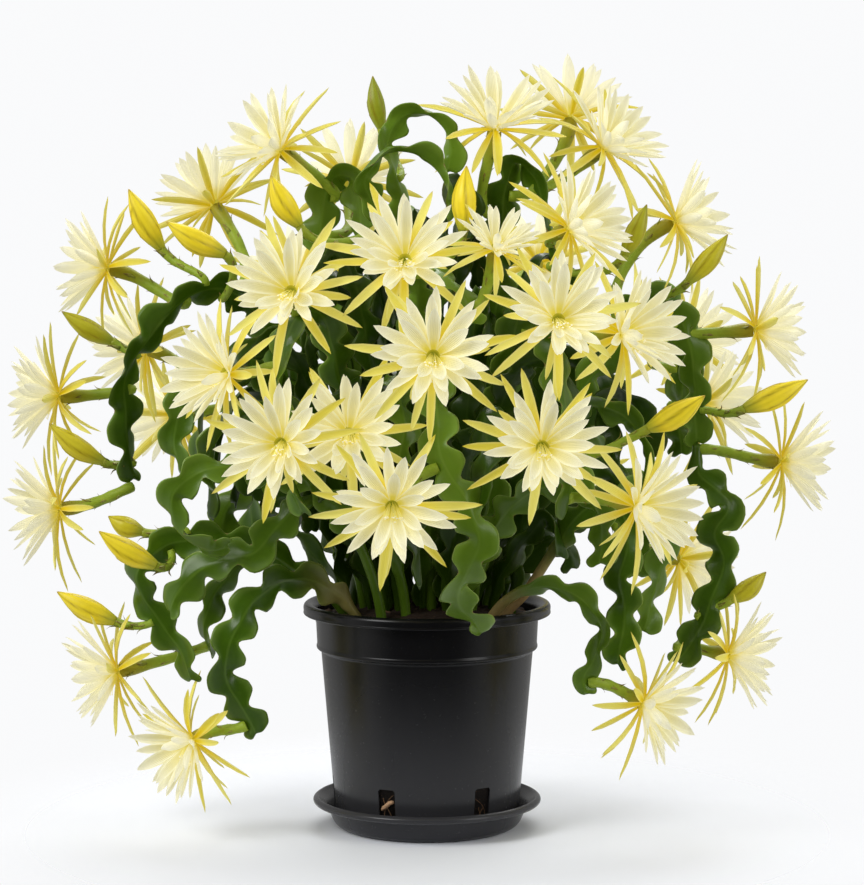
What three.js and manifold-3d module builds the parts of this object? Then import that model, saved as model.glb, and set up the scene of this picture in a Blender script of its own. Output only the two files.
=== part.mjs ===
// Orchid cactus (an Epiphyllum hybrid) in flower, in its nursery pot on a saucer.
// Millimetres, +Z up. The origin is the centre of the saucer's underside, on the pot's axis,
// and -Y is the plant's front.

import * as THREE from 'three';
import { mergeVertices } from 'three/addons/utils/BufferGeometryUtils.js';
import Module from 'manifold-3d';

const wasm = await Module();
wasm.setup();

const V = (x, y, z) => new THREE.Vector3(x, y, z);
const UP = V(0, 0, 1);
const DEG = Math.PI / 180;

// ---------------------------------------------------------------- driving dimensions

const GAP = 0.3; // between pieces that touch
const CLEARANCE = 0.4; // round a tepal that passes its neighbour
const ROUND = 36; // facets round the pot and the saucer

const SAUCER = {
  footRadius: 88,
  lipRadius: 115.5,
  height: 31,
  lipDepth: 7.5,
  floor: 3,
  wall: 2,
};

const POT = {
  height: 225,
  rimRadius: 125,
  rimDepth: 11,
  bandRadius: 113,
  ledgeHeight: 181,
  ledgeStep: 4,
  footRadius: 92,
  footRound: 4,
  wall: 2.2,
  floor: 2.5,
};

const WINDOW = {
  count: 6,
  firstAngle: -24.8, // from the front, towards +X
  width: 18,
  top: 53,
  underFloor: 11,
};

const MIX = {
  belowRim: 15.5,
  dome: 3,
  relief: 2.2,
  corners: ROUND / 2,
  topRings: [0.76, 0.48],
};

const STEM = {
  stalkRadius: 5,
  stalkStep: 60, // longest straight stretch of a stalk
  flare: 45, // length over which the round stalk widens into the flat stem
  tipLength: 26,
  tipShare: 0.45, // of the full width, left at the blunt tip
  ribThickness: 5,
  lobePitch: 39,
  notchDepth: 0.5,
  ripple: 4,
  rippleLength: 95,
  sunkInMix: 41, // how deep a basal stem stands in the potting mix
};

const TUBE = {
  radius: 4,
  hubRadius: 5.6,
  sides: 3,
  steps: 3,
  reach: 72, // from the areole to the bloom, as the plant grows them
  bractPull: 3.5,
};

const BUD = {
  sides: 4,
  stalkReach: 34,
  // share of the way from the bud's base to its tip, and the radius there
  profile: [[0, 6], [0.25, 11.5], [0.5, 12.5], [0.78, 7.5]],
};

const BLOOM = {
  tepalsPerRing: 8,
  baseRadius: 6.5,
  throatRadius: 7.5,
  hubDepth: 6,
  stamenReach: 30,
  stamenDroop: 9,
  outer: { midAngle: 93, tipAngle: 104, midReach: 38, tipReach: 71, width: 14, thickness: 2.2 },
  inner: { midAngle: 42, tipAngle: 47, midReach: 41, tipReach: 66, width: 19, thickness: 2 },
};

// ---------------------------------------------------------------- how the plant grows
// Each basal stem has its own ribbons: the first rises from the potting mix, the others
// branch from it. path: points along the midrib. face: the way the flat side looks at the
// start, in degrees from the front towards +X. twist: its turn along the whole ribbon.
// buds: base and tip of each.

const STEMS = [
  {
    name: 'stem_front_arch',
    ribbons: [
      {
        path: [[4, -34], [4, -44, 250], [2, -62, 350], [0, -100, 440], [2, -150, 490], [6, -198, 478],
          [10, -228, 435], [14, -240, 395], [38, -246, 356], [48, -240, 318], [34, -222, 282],
          [30, -200, 256], [45, -182, 236], [56, -168, 218]],
        face: 0, twist: 10, stalk: 90, width: 44,
      },
    ],
    buds: [],
  },
  {
    name: 'stem_front_left',
    ribbons: [
      {
        path: [[-34, -24], [-42, -34, 250], [-60, -52, 360], [-84, -90, 460], [-102, -140, 528],
          [-120, -178, 525], [-136, -198, 478], [-140, -206, 425], [-128, -205, 375], [-112, -200, 335]],
        face: -20, twist: 30, stalk: 80, width: 44,
      },
      {
        path: [[-60, -52, 360], [-108, -64, 404], [-150, -90, 432], [-190, -108, 420], [-214, -114, 384],
          [-206, -112, 346]],
        face: 10, twist: -50, stalk: 12, width: 42,
      },
    ],
    buds: [],
  },
  {
    name: 'stem_front_right',
    ribbons: [
      {
        path: [[38, -28], [48, -38, 250], [64, -56, 360], [78, -92, 460], [92, -145, 535],
          [108, -188, 530], [122, -205, 478], [130, -208, 425], [134, -198, 375], [128, -186, 330]],
        face: 20, twist: -30, stalk: 80, width: 44,
      },
      {
        path: [[64, -56, 360], [110, -72, 402], [158, -98, 436], [194, -108, 426], [214, -110, 390],
          [210, -108, 350]],
        face: -10, twist: 60, stalk: 12, width: 42,
      },
    ],
    buds: [[[208, -220, 423], [258, -240, 455]]],
  },
  {
    name: 'stem_centre',
    ribbons: [
      {
        path: [[-4, 6], [-6, 4, 260], [-10, -4, 370], [-16, -12, 480], [-22, -28, 580], [-30, -48, 650],
          [-40, -56, 690], [-26, -60, 716], [2, -60, 718], [24, -58, 694], [22, -54, 654]],
        face: 25, twist: 20, stalk: 180, width: 32,
      },
      {
        path: [[-24, -34, 596], [-50, -60, 624], [-62, -78, 654], [-36, -88, 682], [0, -88, 676],
          [22, -84, 646], [26, -80, 610]],
        face: 15, twist: 30, stalk: 8, width: 32,
      },
      {
        path: [[-12, -8, 400], [-10, -50, 500], [-6, -106, 560], [10, -148, 566], [30, -170, 550],
          [46, -178, 512]],
        face: -15, twist: 40, stalk: 60, width: 42,
      },
    ],
    buds: [[[-45, 0, 702], [-54, 0, 756]], [[35, -130, 605], [38, -130, 667]]],
  },
  {
    name: 'stem_top_left',
    ribbons: [
      {
        path: [[-28, 18], [-38, 16, 260], [-60, 10, 370], [-84, -6, 480], [-104, -18, 570],
          [-104, -24, 624], [-90, -28, 658], [-72, -32, 654], [-64, -34, 620], [-66, -36, 582]],
        face: 0, twist: 15, stalk: 120, width: 44,
      },
    ],
    buds: [[[-123, -120, 610], [-149, -130, 658]]],
  },
  {
    name: 'stem_left_arch',
    ribbons: [
      {
        path: [[-56, -2], [-68, -2, 250], [-96, -2, 350], [-130, -4, 440], [-162, -6, 505],
          [-190, -14, 540], [-218, -32, 546], [-246, -48, 532], [-274, -58, 500], [-298, -60, 462],
          [-299, -56, 424], [-297, -48, 388], [-290, -40, 350]],
        face: 0, twist: 0, stalk: 80, width: 43,
      },
      {
        path: [[-130, -4, 440], [-164, -44, 462], [-204, -70, 462], [-236, -78, 438], [-246, -80, 398],
          [-238, -78, 360]],
        face: 10, twist: 70, stalk: 10, width: 40,
      },
    ],
    buds: [
      [[-264, -20, 585], [-295, -30, 644]],
      [[-197, -80, 581], [-253, -90, 613]],
      [[-311, -40, 493], [-360, -50, 524]],
      [[-320, -60, 376], [-371, -70, 415]],
    ],
  },
  {
    name: 'stem_left_hanging',
    ribbons: [
      {
        path: [[-76, -14], [-82, -15, 215], [-104, -19, 243], [-150, -36, 276], [-205, -58, 298],
          [-256, -68, 294], [-287, -60, 262], [-268, -52, 222], [-244, -50, 186], [-232, -50, 150]],
        face: 15, twist: 10, stalk: 80, width: 42,
      },
      {
        path: [[-170, -44, 286], [-196, -34, 262], [-216, -28, 230], [-222, -26, 200], [-210, -28, 172]],
        face: 40, twist: 90, stalk: 8, width: 30,
      },
    ],
    buds: [
      [[-265, -100, 278], [-319, -110, 313]],
      [[-281, -60, 306], [-315, -60, 322]],
      [[-311, -40, 214], [-369, -40, 244]],
    ],
  },
  {
    name: 'stem_left_rim',
    ribbons: [
      {
        path: [[-60, -46], [-67, -51, 215], [-92, -60, 245], [-128, -78, 262], [-164, -100, 248],
          [-186, -110, 218], [-197, -109, 184], [-194, -104, 160], [-180, -98, 136], [-165, -91, 104]],
        face: 32, twist: 10, stalk: 55, width: 44,
      },
    ],
    buds: [],
  },
  {
    name: 'stem_left_curl',
    ribbons: [
      {
        path: [[-40, -66], [-50, -74, 250], [-78, -92, 320], [-116, -118, 362], [-160, -140, 376],
          [-206, -152, 378], [-240, -152, 356], [-240, -144, 322], [-212, -134, 300], [-186, -126, 304]],
        face: 0, twist: 70, stalk: 120, width: 40,
      },
      {
        path: [[-100, -106, 350], [-134, -116, 330], [-168, -112, 292], [-202, -108, 284],
          [-236, -104, 260], [-254, -98, 226]],
        face: 0, twist: 30, stalk: 8, width: 44,
      },
    ],
    buds: [],
  },
  {
    name: 'stem_right_woody',
    ribbons: [
      {
        path: [[62, -32], [74, -37, 215], [98, -48, 244], [128, -62, 292], [158, -74, 332],
          [186, -80, 336], [198, -80, 300], [190, -76, 264], [196, -72, 228], [192, -68, 196],
          [188, -66, 168]],
        face: -25, twist: 20, stalk: 130, width: 42,
      },
      {
        path: [[160, -72, 332], [205, -56, 345], [236, -52, 320], [234, -54, 284], [222, -56, 240],
          [212, -56, 200]],
        face: 0, twist: -20, stalk: 8, width: 40,
      },
    ],
    buds: [],
  },
  {
    name: 'stem_right_rim',
    ribbons: [
      {
        path: [[52, -62], [60, -70, 215], [80, -84, 243], [112, -104, 258], [146, -120, 252],
          [170, -122, 222], [164, -116, 190], [154, -110, 168], [160, -108, 146]],
        face: -34, twist: 15, stalk: 90, width: 26,
      },
    ],
    buds: [],
  },
  {
    name: 'stem_right_arch',
    ribbons: [
      {
        path: [[52, 6], [66, 6, 250], [100, 2, 350], [146, -4, 430], [192, -10, 490], [228, -16, 524],
          [254, -18, 512], [266, -18, 470], [268, -20, 425], [270, -26, 385]],
        face: 0, twist: 10, stalk: 80, width: 42,
      },
      {
        path: [[270, -24, 392], [270, -32, 362], [300, -40, 332], [286, -42, 302], [296, -42, 274],
          [286, -42, 244], [272, -42, 206], [246, -42, 168]],
        face: 0, twist: 20, stalk: 8, width: 42,
      },
    ],
    buds: [
      [[256, -60, 553], [295, -60, 600]],
      [[312, -70, 429], [374, -70, 458]],
      [[302, -40, 235], [338, -40, 264]],
    ],
  },
  {
    name: 'stem_right_back',
    ribbons: [
      {
        path: [[44, 40], [56, 46, 250], [96, 52, 350], [146, 58, 440], [196, 62, 505], [236, 64, 532],
          [258, 62, 505], [262, 62, 455], [258, 64, 405], [262, 70, 365]],
        face: 0, twist: -10, stalk: 80, width: 44,
      },
      {
        path: [[74, 49, 300], [116, 56, 346], [164, 60, 366], [206, 62, 342], [222, 64, 292],
          [214, 64, 240]],
        face: 0, twist: 25, stalk: 10, width: 44,
      },
    ],
    buds: [],
  },
  {
    name: 'stem_top_right',
    ribbons: [
      {
        path: [[22, 6], [30, 4, 260], [46, 0, 370], [62, -6, 480], [74, -14, 570], [76, -30, 640],
          [88, -44, 672], [108, -48, 656], [118, -54, 615], [124, -62, 570]],
        face: 0, twist: 20, stalk: 120, width: 42,
      },
    ],
    buds: [[[191, -100, 580], [212, -110, 630]]],
  },
  {
    name: 'stem_back_left',
    ribbons: [
      {
        path: [[-30, 46], [-36, 56, 250], [-50, 80, 350], [-74, 112, 450], [-100, 142, 530],
          [-112, 170, 570], [-118, 200, 550], [-124, 214, 500], [-130, 220, 450]],
        face: 0, twist: 20, stalk: 60, width: 44,
      },
      {
        path: [[-62, 98, 410], [-40, 130, 500], [-20, 140, 580], [-6, 150, 610], [6, 170, 590],
          [10, 190, 540]],
        face: 0, twist: -40, stalk: 20, width: 42,
      },
      {
        path: [[-50, 80, 350], [-98, 114, 398], [-146, 132, 402], [-178, 142, 362], [-184, 144, 306],
          [-172, 140, 252]],
        face: 0, twist: 20, stalk: 10, width: 44,
      },
    ],
    buds: [],
  },
  {
    name: 'stem_left_back',
    ribbons: [
      {
        path: [[-60, 34], [-72, 42, 250], [-104, 60, 340], [-146, 82, 410], [-186, 98, 445],
          [-214, 106, 452], [-232, 110, 426], [-236, 110, 382], [-230, 110, 340]],
        face: 0, twist: 30, stalk: 60, width: 44,
      },
      {
        path: [[-120, 68, 370], [-148, 120, 424], [-168, 168, 436], [-184, 204, 400], [-190, 214, 350]],
        face: 60, twist: 20, stalk: 12, width: 42,
      },
      {
        path: [[-90, 52, 300], [-134, 66, 342], [-180, 74, 344], [-210, 78, 304], [-208, 78, 252]],
        face: 0, twist: -20, stalk: 10, width: 42,
      },
    ],
    buds: [],
  },
  {
    name: 'stem_back_right',
    ribbons: [
      {
        path: [[18, 52], [24, 64, 250], [40, 92, 350], [62, 130, 450], [84, 170, 520], [98, 208, 535],
          [108, 232, 500], [112, 240, 450], [110, 240, 400]],
        face: 0, twist: 0, stalk: 60, width: 44,
      },
      {
        path: [[50, 110, 400], [108, 130, 420], [160, 150, 402], [190, 156, 352], [200, 152, 292]],
        face: 0, twist: -30, stalk: 12, width: 42,
      },
      {
        path: [[28, 70, 290], [20, 104, 370], [-2, 130, 420], [-34, 150, 420], [-56, 162, 372],
          [-60, 168, 312]],
        face: 0, twist: 30, stalk: 20, width: 44,
      },
    ],
    buds: [],
  },
  {
    name: 'stem_low_left',
    ribbons: [
      {
        path: [[-18, -56], [-24, -64, 250], [-46, -92, 330], [-58, -120, 400], [-50, -146, 452],
          [-34, -172, 462], [-22, -190, 428], [-28, -192, 384]],
        face: 20, twist: 20, stalk: 90, width: 42,
      },
    ],
    buds: [],
  },
  {
    name: 'stem_low_right',
    ribbons: [
      {
        path: [[26, -60], [38, -74, 250], [66, -106, 316], [104, -136, 356], [146, -150, 362],
          [168, -154, 326], [166, -154, 280]],
        face: 0, twist: -20, stalk: 70, width: 42,
      },
    ],
    buds: [],
  },
];

// Each bloom: the middle of its throat's base, the way it looks (degrees from the front
// towards +X, and upwards) and the stem that carries it. A young one is smaller.
const BLOOMS = [
  { hub: [-124, -230, 549], azimuth: -15, elevation: 15, stem: 'stem_front_left' },
  { hub: [-20, -235, 578], azimuth: 0, elevation: 20, stem: 'stem_centre' },
  { hub: [6, -320, 496], azimuth: 0, elevation: 5, stem: 'stem_front_arch' },
  { hub: [119, -270, 525], azimuth: 12, elevation: 15, stem: 'stem_front_right' },
  { hub: [104, -310, 414], azimuth: 5, elevation: 0, stem: 'stem_front_right' },
  { hub: [193, -240, 352], azimuth: 50, elevation: -5, stem: 'stem_front_right' },
  { hub: [-131, -290, 415], azimuth: -15, elevation: 0, stem: 'stem_front_left' },
  { hub: [-72, -240, 419], azimuth: 0, elevation: 5, stem: 'stem_front_left' },
  { hub: [-31, -330, 363], azimuth: 0, elevation: -8, stem: 'stem_front_arch' },
  { hub: [-185, -190, 471], azimuth: -50, elevation: 5, stem: 'stem_front_left' },
  { hub: [183, -180, 508], azimuth: 45, elevation: 10, stem: 'stem_front_right' },
  { hub: [64, -180, 587], azimuth: 20, elevation: 50, stem: 'stem_centre', size: 0.72 },
  { hub: [134, -130, 606], azimuth: 60, elevation: 20, stem: 'stem_top_right' },
  { hub: [66, -60, 701], azimuth: 10, elevation: 60, stem: 'stem_top_right' },
  { hub: [145, 50, 712], azimuth: 170, elevation: 55, stem: 'stem_top_right' },
  { hub: [173, -10, 683], azimuth: 60, elevation: 35, stem: 'stem_top_right' },
  { hub: [246, 0, 610], azimuth: 80, elevation: 20, stem: 'stem_right_arch' },
  { hub: [325, -20, 504], azimuth: 85, elevation: 5, stem: 'stem_right_arch' },
  { hub: [349, -40, 374], azimuth: 85, elevation: -3, stem: 'stem_right_arch' },
  { hub: [283, 90, 422], azimuth: 110, elevation: 10, stem: 'stem_right_back' },
  { hub: [299, -30, 179], azimuth: 80, elevation: -8, stem: 'stem_right_arch' },
  { hub: [211, -90, 142], azimuth: 60, elevation: -20, stem: 'stem_right_rim' },
  { hub: [-142, -50, 681], azimuth: -60, elevation: 30, stem: 'stem_top_left' },
  { hub: [-212, 20, 625], azimuth: -140, elevation: 40, stem: 'stem_left_arch' },
  { hub: [-79, 90, 649], azimuth: 170, elevation: 40, stem: 'stem_top_left' },
  { hub: [-317, 0, 564], azimuth: -88, elevation: 8, stem: 'stem_left_arch' },
  { hub: [-365, -20, 438], azimuth: -85, elevation: 3, stem: 'stem_left_arch' },
  { hub: [-365, -20, 325], azimuth: -85, elevation: -3, stem: 'stem_left_arch' },
  { hub: [-309, -20, 161], azimuth: -80, elevation: -10, stem: 'stem_left_hanging' },
  { hub: [-230, -70, 101], azimuth: -55, elevation: -25, stem: 'stem_left_rim' },
  { hub: [-288, 110, 476], azimuth: -110, elevation: 10, stem: 'stem_left_back' },
  { hub: [-140, 280, 545], azimuth: -160, elevation: 10, stem: 'stem_back_left' },
  { hub: [120, 285, 560], azimuth: 165, elevation: 20, stem: 'stem_back_right' },
  { hub: [-265, 210, 400], azimuth: -130, elevation: 0, stem: 'stem_left_back' },
  { hub: [5, 330, 430], azimuth: 180, elevation: 0, stem: 'stem_back_right' },
  { hub: [270, 190, 480], azimuth: 130, elevation: 10, stem: 'stem_right_back' },
  { hub: [150, 300, 320], azimuth: 160, elevation: -10, stem: 'stem_back_right' },
  { hub: [265, 170, 250], azimuth: 125, elevation: -10, stem: 'stem_back_right' },
];

// ---------------------------------------------------------------- small helpers

// A fixed draw between 0 and 1 for each whole number.
function draw(seed) {
  const value = Math.sin(seed * 127.1 + 11.7) * 43758.5453;
  return value - Math.floor(value);
}

function smooth(share) {
  const t = THREE.MathUtils.clamp(share, 0, 1);
  return t * t * (3 - 2 * t);
}

function facing(azimuth, elevation) {
  const flat = Math.cos(elevation * DEG);
  return V(Math.sin(azimuth * DEG) * flat, -Math.cos(azimuth * DEG) * flat, Math.sin(elevation * DEG));
}

function geometryFrom(points, faces) {
  const geometry = new THREE.BufferGeometry();
  geometry.setAttribute('position', new THREE.Float32BufferAttribute(points.flatMap((p) => p.toArray()), 3));
  geometry.setIndex(faces.flat());
  return geometry;
}

function solidFrom(geometry) {
  const bare = geometry.clone();
  bare.deleteAttribute('normal');
  bare.deleteAttribute('uv');
  const merged = mergeVertices(bare, 1e-4);
  const index = merged.index.array;
  const corners = [];
  for (let i = 0; i < index.length; i += 3) {
    const [a, b, c] = index.slice(i, i + 3);
    if (a !== b && b !== c && c !== a) {
      corners.push(a, b, c);
    }
  }
  return new wasm.Manifold(new wasm.Mesh({
    numProp: 3,
    vertProperties: Float32Array.from(merged.attributes.position.array),
    triVerts: Uint32Array.from(corners),
  }));
}

function geometryOf(solid) {
  const mesh = solid.getMesh();
  const geometry = new THREE.BufferGeometry();
  geometry.setAttribute('position', new THREE.BufferAttribute(Float32Array.from(mesh.vertProperties), 3));
  geometry.setIndex(new THREE.BufferAttribute(Uint32Array.from(mesh.triVerts), 1));
  geometry.computeVertexNormals();
  return geometry;
}

// Joins closed rings of points into one closed skin. A last ring may be a single point.
// Opposite faces of a four-cornered ring are split along the same diagonal.
function loft(rings) {
  const points = rings.flat();
  const sides = rings[0].length;
  const faces = [];
  for (let i = 1; i + 1 < sides; i += 1) {
    faces.push([0, i + 1, i]);
  }
  let start = 0;
  for (let k = 0; k + 1 < rings.length; k += 1) {
    const next = start + sides;
    for (let i = 0; i < sides; i += 1) {
      const j = (i + 1) % sides;
      if (rings[k + 1].length === 1) {
        faces.push([start + i, start + j, next]);
      } else if (i < sides / 2) {
        faces.push([start + i, start + j, next + j], [start + i, next + j, next + i]);
      } else {
        faces.push([start + i, start + j, next + i], [start + j, next + j, next + i]);
      }
    }
    start = next;
  }
  if (rings.at(-1).length > 1) {
    for (let i = 1; i + 1 < sides; i += 1) {
      faces.push([start, start + i, start + i + 1]);
    }
  }
  return solidFrom(geometryFrom(points, faces));
}

// Carries a sideways direction along a line of points without turning it about the line.
function framesAlong(points, firstSide) {
  const frames = [];
  let side = firstSide;
  points.forEach((point, k) => {
    const before = points[Math.max(k - 1, 0)];
    const after = points[Math.min(k + 1, points.length - 1)];
    const along = after.clone().sub(before).normalize();
    side = side.clone().addScaledVector(along, -side.dot(along)).normalize();
    frames.push({ point, along, side, normal: along.clone().cross(side) });
  });
  return frames;
}

function anySideOf(along) {
  const helper = Math.abs(along.z) < 0.9 ? UP : V(1, 0, 0);
  return along.clone().cross(helper).normalize();
}

function lathe(profile) {
  const outline = profile.map(([radius, height]) => new THREE.Vector2(radius, height));
  const geometry = new THREE.LatheGeometry(outline, ROUND);
  geometry.rotateX(Math.PI / 2);
  return solidFrom(geometry);
}

function coloured(color, roughness) {
  return new THREE.MeshStandardMaterial({ color, roughness, metalness: 0 });
}

const plant = new THREE.Group();

function addPiece(name, geometry, material) {
  const mesh = new THREE.Mesh(geometry, material);
  mesh.name = name;
  plant.add(mesh);
  return mesh;
}

// ---------------------------------------------------------------- saucer

function saucer() {
  const { footRadius, lipRadius, height, lipDepth, floor, wall } = SAUCER;
  const lipUnder = height - lipDepth;
  const wallTop = lipRadius - 12.5;
  return lathe([
    [0, 0],
    [footRadius, 0],
    [footRadius + 6, 4],
    [wallTop, lipUnder],
    [lipRadius - 2, lipUnder],
    [lipRadius, lipUnder + 2],
    [lipRadius, height - 2.5],
    [lipRadius - 3, height],
    [lipRadius - 5, height],
    [lipRadius - 7, height - 2],
    [wallTop - wall, lipUnder],
    [footRadius + 6.5 - wall, 6],
    [footRadius + 1.5, floor],
    [0, floor],
  ]);
}

// ---------------------------------------------------------------- pot and potting mix

const potBase = SAUCER.floor + GAP;
const potRim = potBase + POT.height;

// The pot's outer radius under the rim, at a height over its base.
function potRadius(height) {
  const ledge = POT.ledgeHeight;
  if (height < ledge) {
    return THREE.MathUtils.mapLinear(height, 0, ledge, POT.footRadius, POT.bandRadius - POT.ledgeStep - 2);
  }
  return THREE.MathUtils.mapLinear(height, ledge, POT.height, POT.bandRadius - 2, POT.bandRadius);
}

function potShell() {
  const { rimRadius, rimDepth, ledgeHeight, footRadius, footRound, wall, floor, height } = POT;
  const lift = ([radius, over]) => [radius, over + potBase];
  const outside = [
    [0, 0],
    [footRadius - footRound, 0],
    [potRadius(footRound), footRound],
    [potRadius(ledgeHeight - 0.1), ledgeHeight - 2.5],
    [potRadius(ledgeHeight), ledgeHeight],
    [potRadius(height - rimDepth), height - rimDepth],
    [rimRadius, height - rimDepth],
    [rimRadius, height - 2],
    [rimRadius - 2, height],
  ];
  const inside = [
    [rimRadius - 8, height],
    [potRadius(height) - wall, height - 5],
    [potRadius(ledgeHeight) - wall, ledgeHeight],
    [potRadius(ledgeHeight - 0.1) - wall, ledgeHeight - 3.5],
    [potRadius(floor) - wall, floor],
    [0, floor],
  ];
  return lathe([...outside, ...inside].map(lift));
}

function drainageWindow(angle) {
  const depth = 30;
  const inner = POT.footRadius - WINDOW.underFloor;
  const box = new THREE.BoxGeometry(WINDOW.width, depth, WINDOW.top);
  box.translate(0, -(inner + depth / 2), WINDOW.top / 2);
  box.rotateZ(angle * DEG);
  return solidFrom(box);
}

function pot() {
  let shell = potShell();
  for (let k = 0; k < WINDOW.count; k += 1) {
    const angle = WINDOW.firstAngle + (k * 360) / WINDOW.count;
    shell = shell.subtract(drainageWindow(angle));
  }
  return shell;
}

function pottingMix() {
  const { ledgeHeight, floor, wall, height } = POT;
  const top = height - MIX.belowRim;
  const fit = (over, inside) => [potRadius(inside) - wall - GAP, over + potBase];
  const sides = [
    fit(floor + GAP, floor),
    fit(ledgeHeight - 3.5 + GAP, ledgeHeight - 0.1),
    fit(ledgeHeight + 1, ledgeHeight),
    fit(top, top),
  ];
  const rimOfMix = sides.at(-1)[0];
  const surface = MIX.topRings.map((share) => [
    rimOfMix * share,
    top + potBase + MIX.dome * (1 - share * share),
  ]);
  const rings = [...sides, ...surface].map(([radius, z], ring) => {
    const points = [];
    for (let k = 0; k < MIX.corners; k += 1) {
      const angle = (k / MIX.corners) * 2 * Math.PI;
      const rough = ring < sides.length ? 0 : MIX.relief * (draw(ring * MIX.corners + k) - 0.5);
      points.push(V(radius * Math.cos(angle), radius * Math.sin(angle), z + rough));
    }
    return points;
  });
  return loft([...rings, [V(0, 0, top + potBase + MIX.dome)]]);
}

// ---------------------------------------------------------------- stems

const mixTop = potRim - MIX.belowRim;
const mixDepth = mixTop - STEM.sunkInMix;

function ribbonFrames(ribbon) {
  const line = ribbon.path.map(([x, y, z = mixDepth]) => V(x, y, z));
  const curve = new THREE.CatmullRomCurve3(line, false, 'centripetal');
  const length = curve.getLength();
  const stalkSteps = Math.ceil(ribbon.stalk / STEM.stalkStep);
  const bladeSteps = Math.round((length - ribbon.stalk) / (STEM.lobePitch / 2));
  const stations = [];
  for (let k = 0; k < stalkSteps; k += 1) {
    stations.push((ribbon.stalk * k) / stalkSteps);
  }
  for (let k = 0; k <= bladeSteps; k += 1) {
    stations.push(ribbon.stalk + ((length - ribbon.stalk) * k) / bladeSteps);
  }
  const points = stations.map((s) => curve.getPointAt(Math.min(s / length, 1)));
  const start = curve.getTangentAt(0);
  const frames = framesAlong(points, start.cross(facing(ribbon.face, 0)));
  frames.forEach((frame, k) => {
    const turn = (ribbon.twist * stations[k] * DEG) / length;
    frame.side.applyAxisAngle(frame.along, turn);
    frame.normal.applyAxisAngle(frame.along, turn);
    frame.s = stations[k];
    frame.lobe = k - stalkSteps;
    frame.open = smooth((frame.s - ribbon.stalk) / STEM.flare);
    frame.end = THREE.MathUtils.clamp((length - frame.s) / STEM.tipLength, 0, 1);
  });
  return frames;
}

// Half the width of a ribbon at one of its edges. Lobes on one edge face notches on the other.
function halfWidth(ribbon, frame, edge) {
  const inNotch = frame.lobe < 0 || (frame.lobe + edge) % 2 === 0;
  const full = (ribbon.width / 2) * (inNotch ? 1 - STEM.notchDepth : 1);
  const tapered = full * (STEM.tipShare + (1 - STEM.tipShare) * Math.sqrt(frame.end));
  return THREE.MathUtils.lerp(STEM.stalkRadius, tapered, frame.open);
}

// A point on the blade between the midrib (share 0) and one of its edges (share 1). The two
// edges ripple to opposite sides.
function bladePoint(ribbon, frame, edge, share, grow = 0) {
  const ripple = STEM.ripple * frame.open * Math.sin((2 * Math.PI * frame.s) / STEM.rippleLength);
  const sign = edge === 0 ? 1 : -1;
  return frame.point.clone()
    .addScaledVector(frame.side, sign * share * (halfWidth(ribbon, frame, edge) + grow))
    .addScaledVector(frame.normal, sign * share * ripple);
}

function ribbonRing(ribbon, frame, grow) {
  const rib = THREE.MathUtils.lerp(STEM.stalkRadius, STEM.ribThickness / 2, frame.open) + grow;
  return [
    bladePoint(ribbon, frame, 0, 1, grow),
    frame.point.clone().addScaledVector(frame.normal, rib),
    bladePoint(ribbon, frame, 1, 1, grow),
    frame.point.clone().addScaledVector(frame.normal, -rib),
  ];
}

function ribbonSolid(ribbon, frames) {
  return loft(frames.map((frame) => ribbonRing(ribbon, frame, 0)));
}

// The hole that a basal stem stands in: its own stalk, a little larger all round.
function stemHole(ribbon, frames) {
  const inMix = frames.filter((frame) => frame.point.z < mixTop + 60);
  const rings = inMix.map((frame) => ribbonRing(ribbon, frame, GAP * 1.5));
  rings[0].forEach((corner) => corner.addScaledVector(UP, -GAP));
  return loft(rings);
}

// The areoles of a stem: the bottoms of the notches along its ribbons' edges.
function areolesOf(stem) {
  const places = [];
  stem.ribbons.forEach((ribbon, r) => {
    for (const frame of stem.frames[r]) {
      const edge = frame.lobe % 2 === 0 ? 0 : 1;
      if (frame.lobe >= 1 && frame.open > 0.5) {
        places.push({
          inner: bladePoint(ribbon, frame, edge, 0.75),
          point: bladePoint(ribbon, frame, edge, 1),
          out: frame.side.clone().multiplyScalar(edge === 0 ? 1 : -1),
          used: false,
        });
      }
    }
  });
  return places;
}

function nearestAreole(stem, target) {
  const free = stem.areoles.filter((areole) => !areole.used);
  const distance = (areole) => areole.point.distanceTo(target);
  const best = free.reduce((a, b) => (distance(b) < distance(a) ? b : a));
  best.used = true;
  return best;
}

// A round-cornered stalk along points, with one corner of each inner ring drawn out as a bract.
function stalkSolid(points, radii, sides, bractPull, lastIsPoint) {
  const start = points[1].clone().sub(points[0]).normalize();
  const frames = framesAlong(points, anySideOf(start));
  const rings = frames.map((frame, k) => {
    if (lastIsPoint && k === frames.length - 1) {
      return [frame.point];
    }
    const ring = [];
    for (let i = 0; i < sides; i += 1) {
      const angle = (i / sides) * 2 * Math.PI;
      const drawnOut = k > 0 && k < frames.length - 1 && i === k % sides;
      const radius = radii[k] + (drawnOut ? bractPull : 0);
      ring.push(frame.point.clone()
        .addScaledVector(frame.side, radius * Math.cos(angle))
        .addScaledVector(frame.normal, radius * Math.sin(angle)));
    }
    return ring;
  });
  return loft(rings);
}

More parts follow.
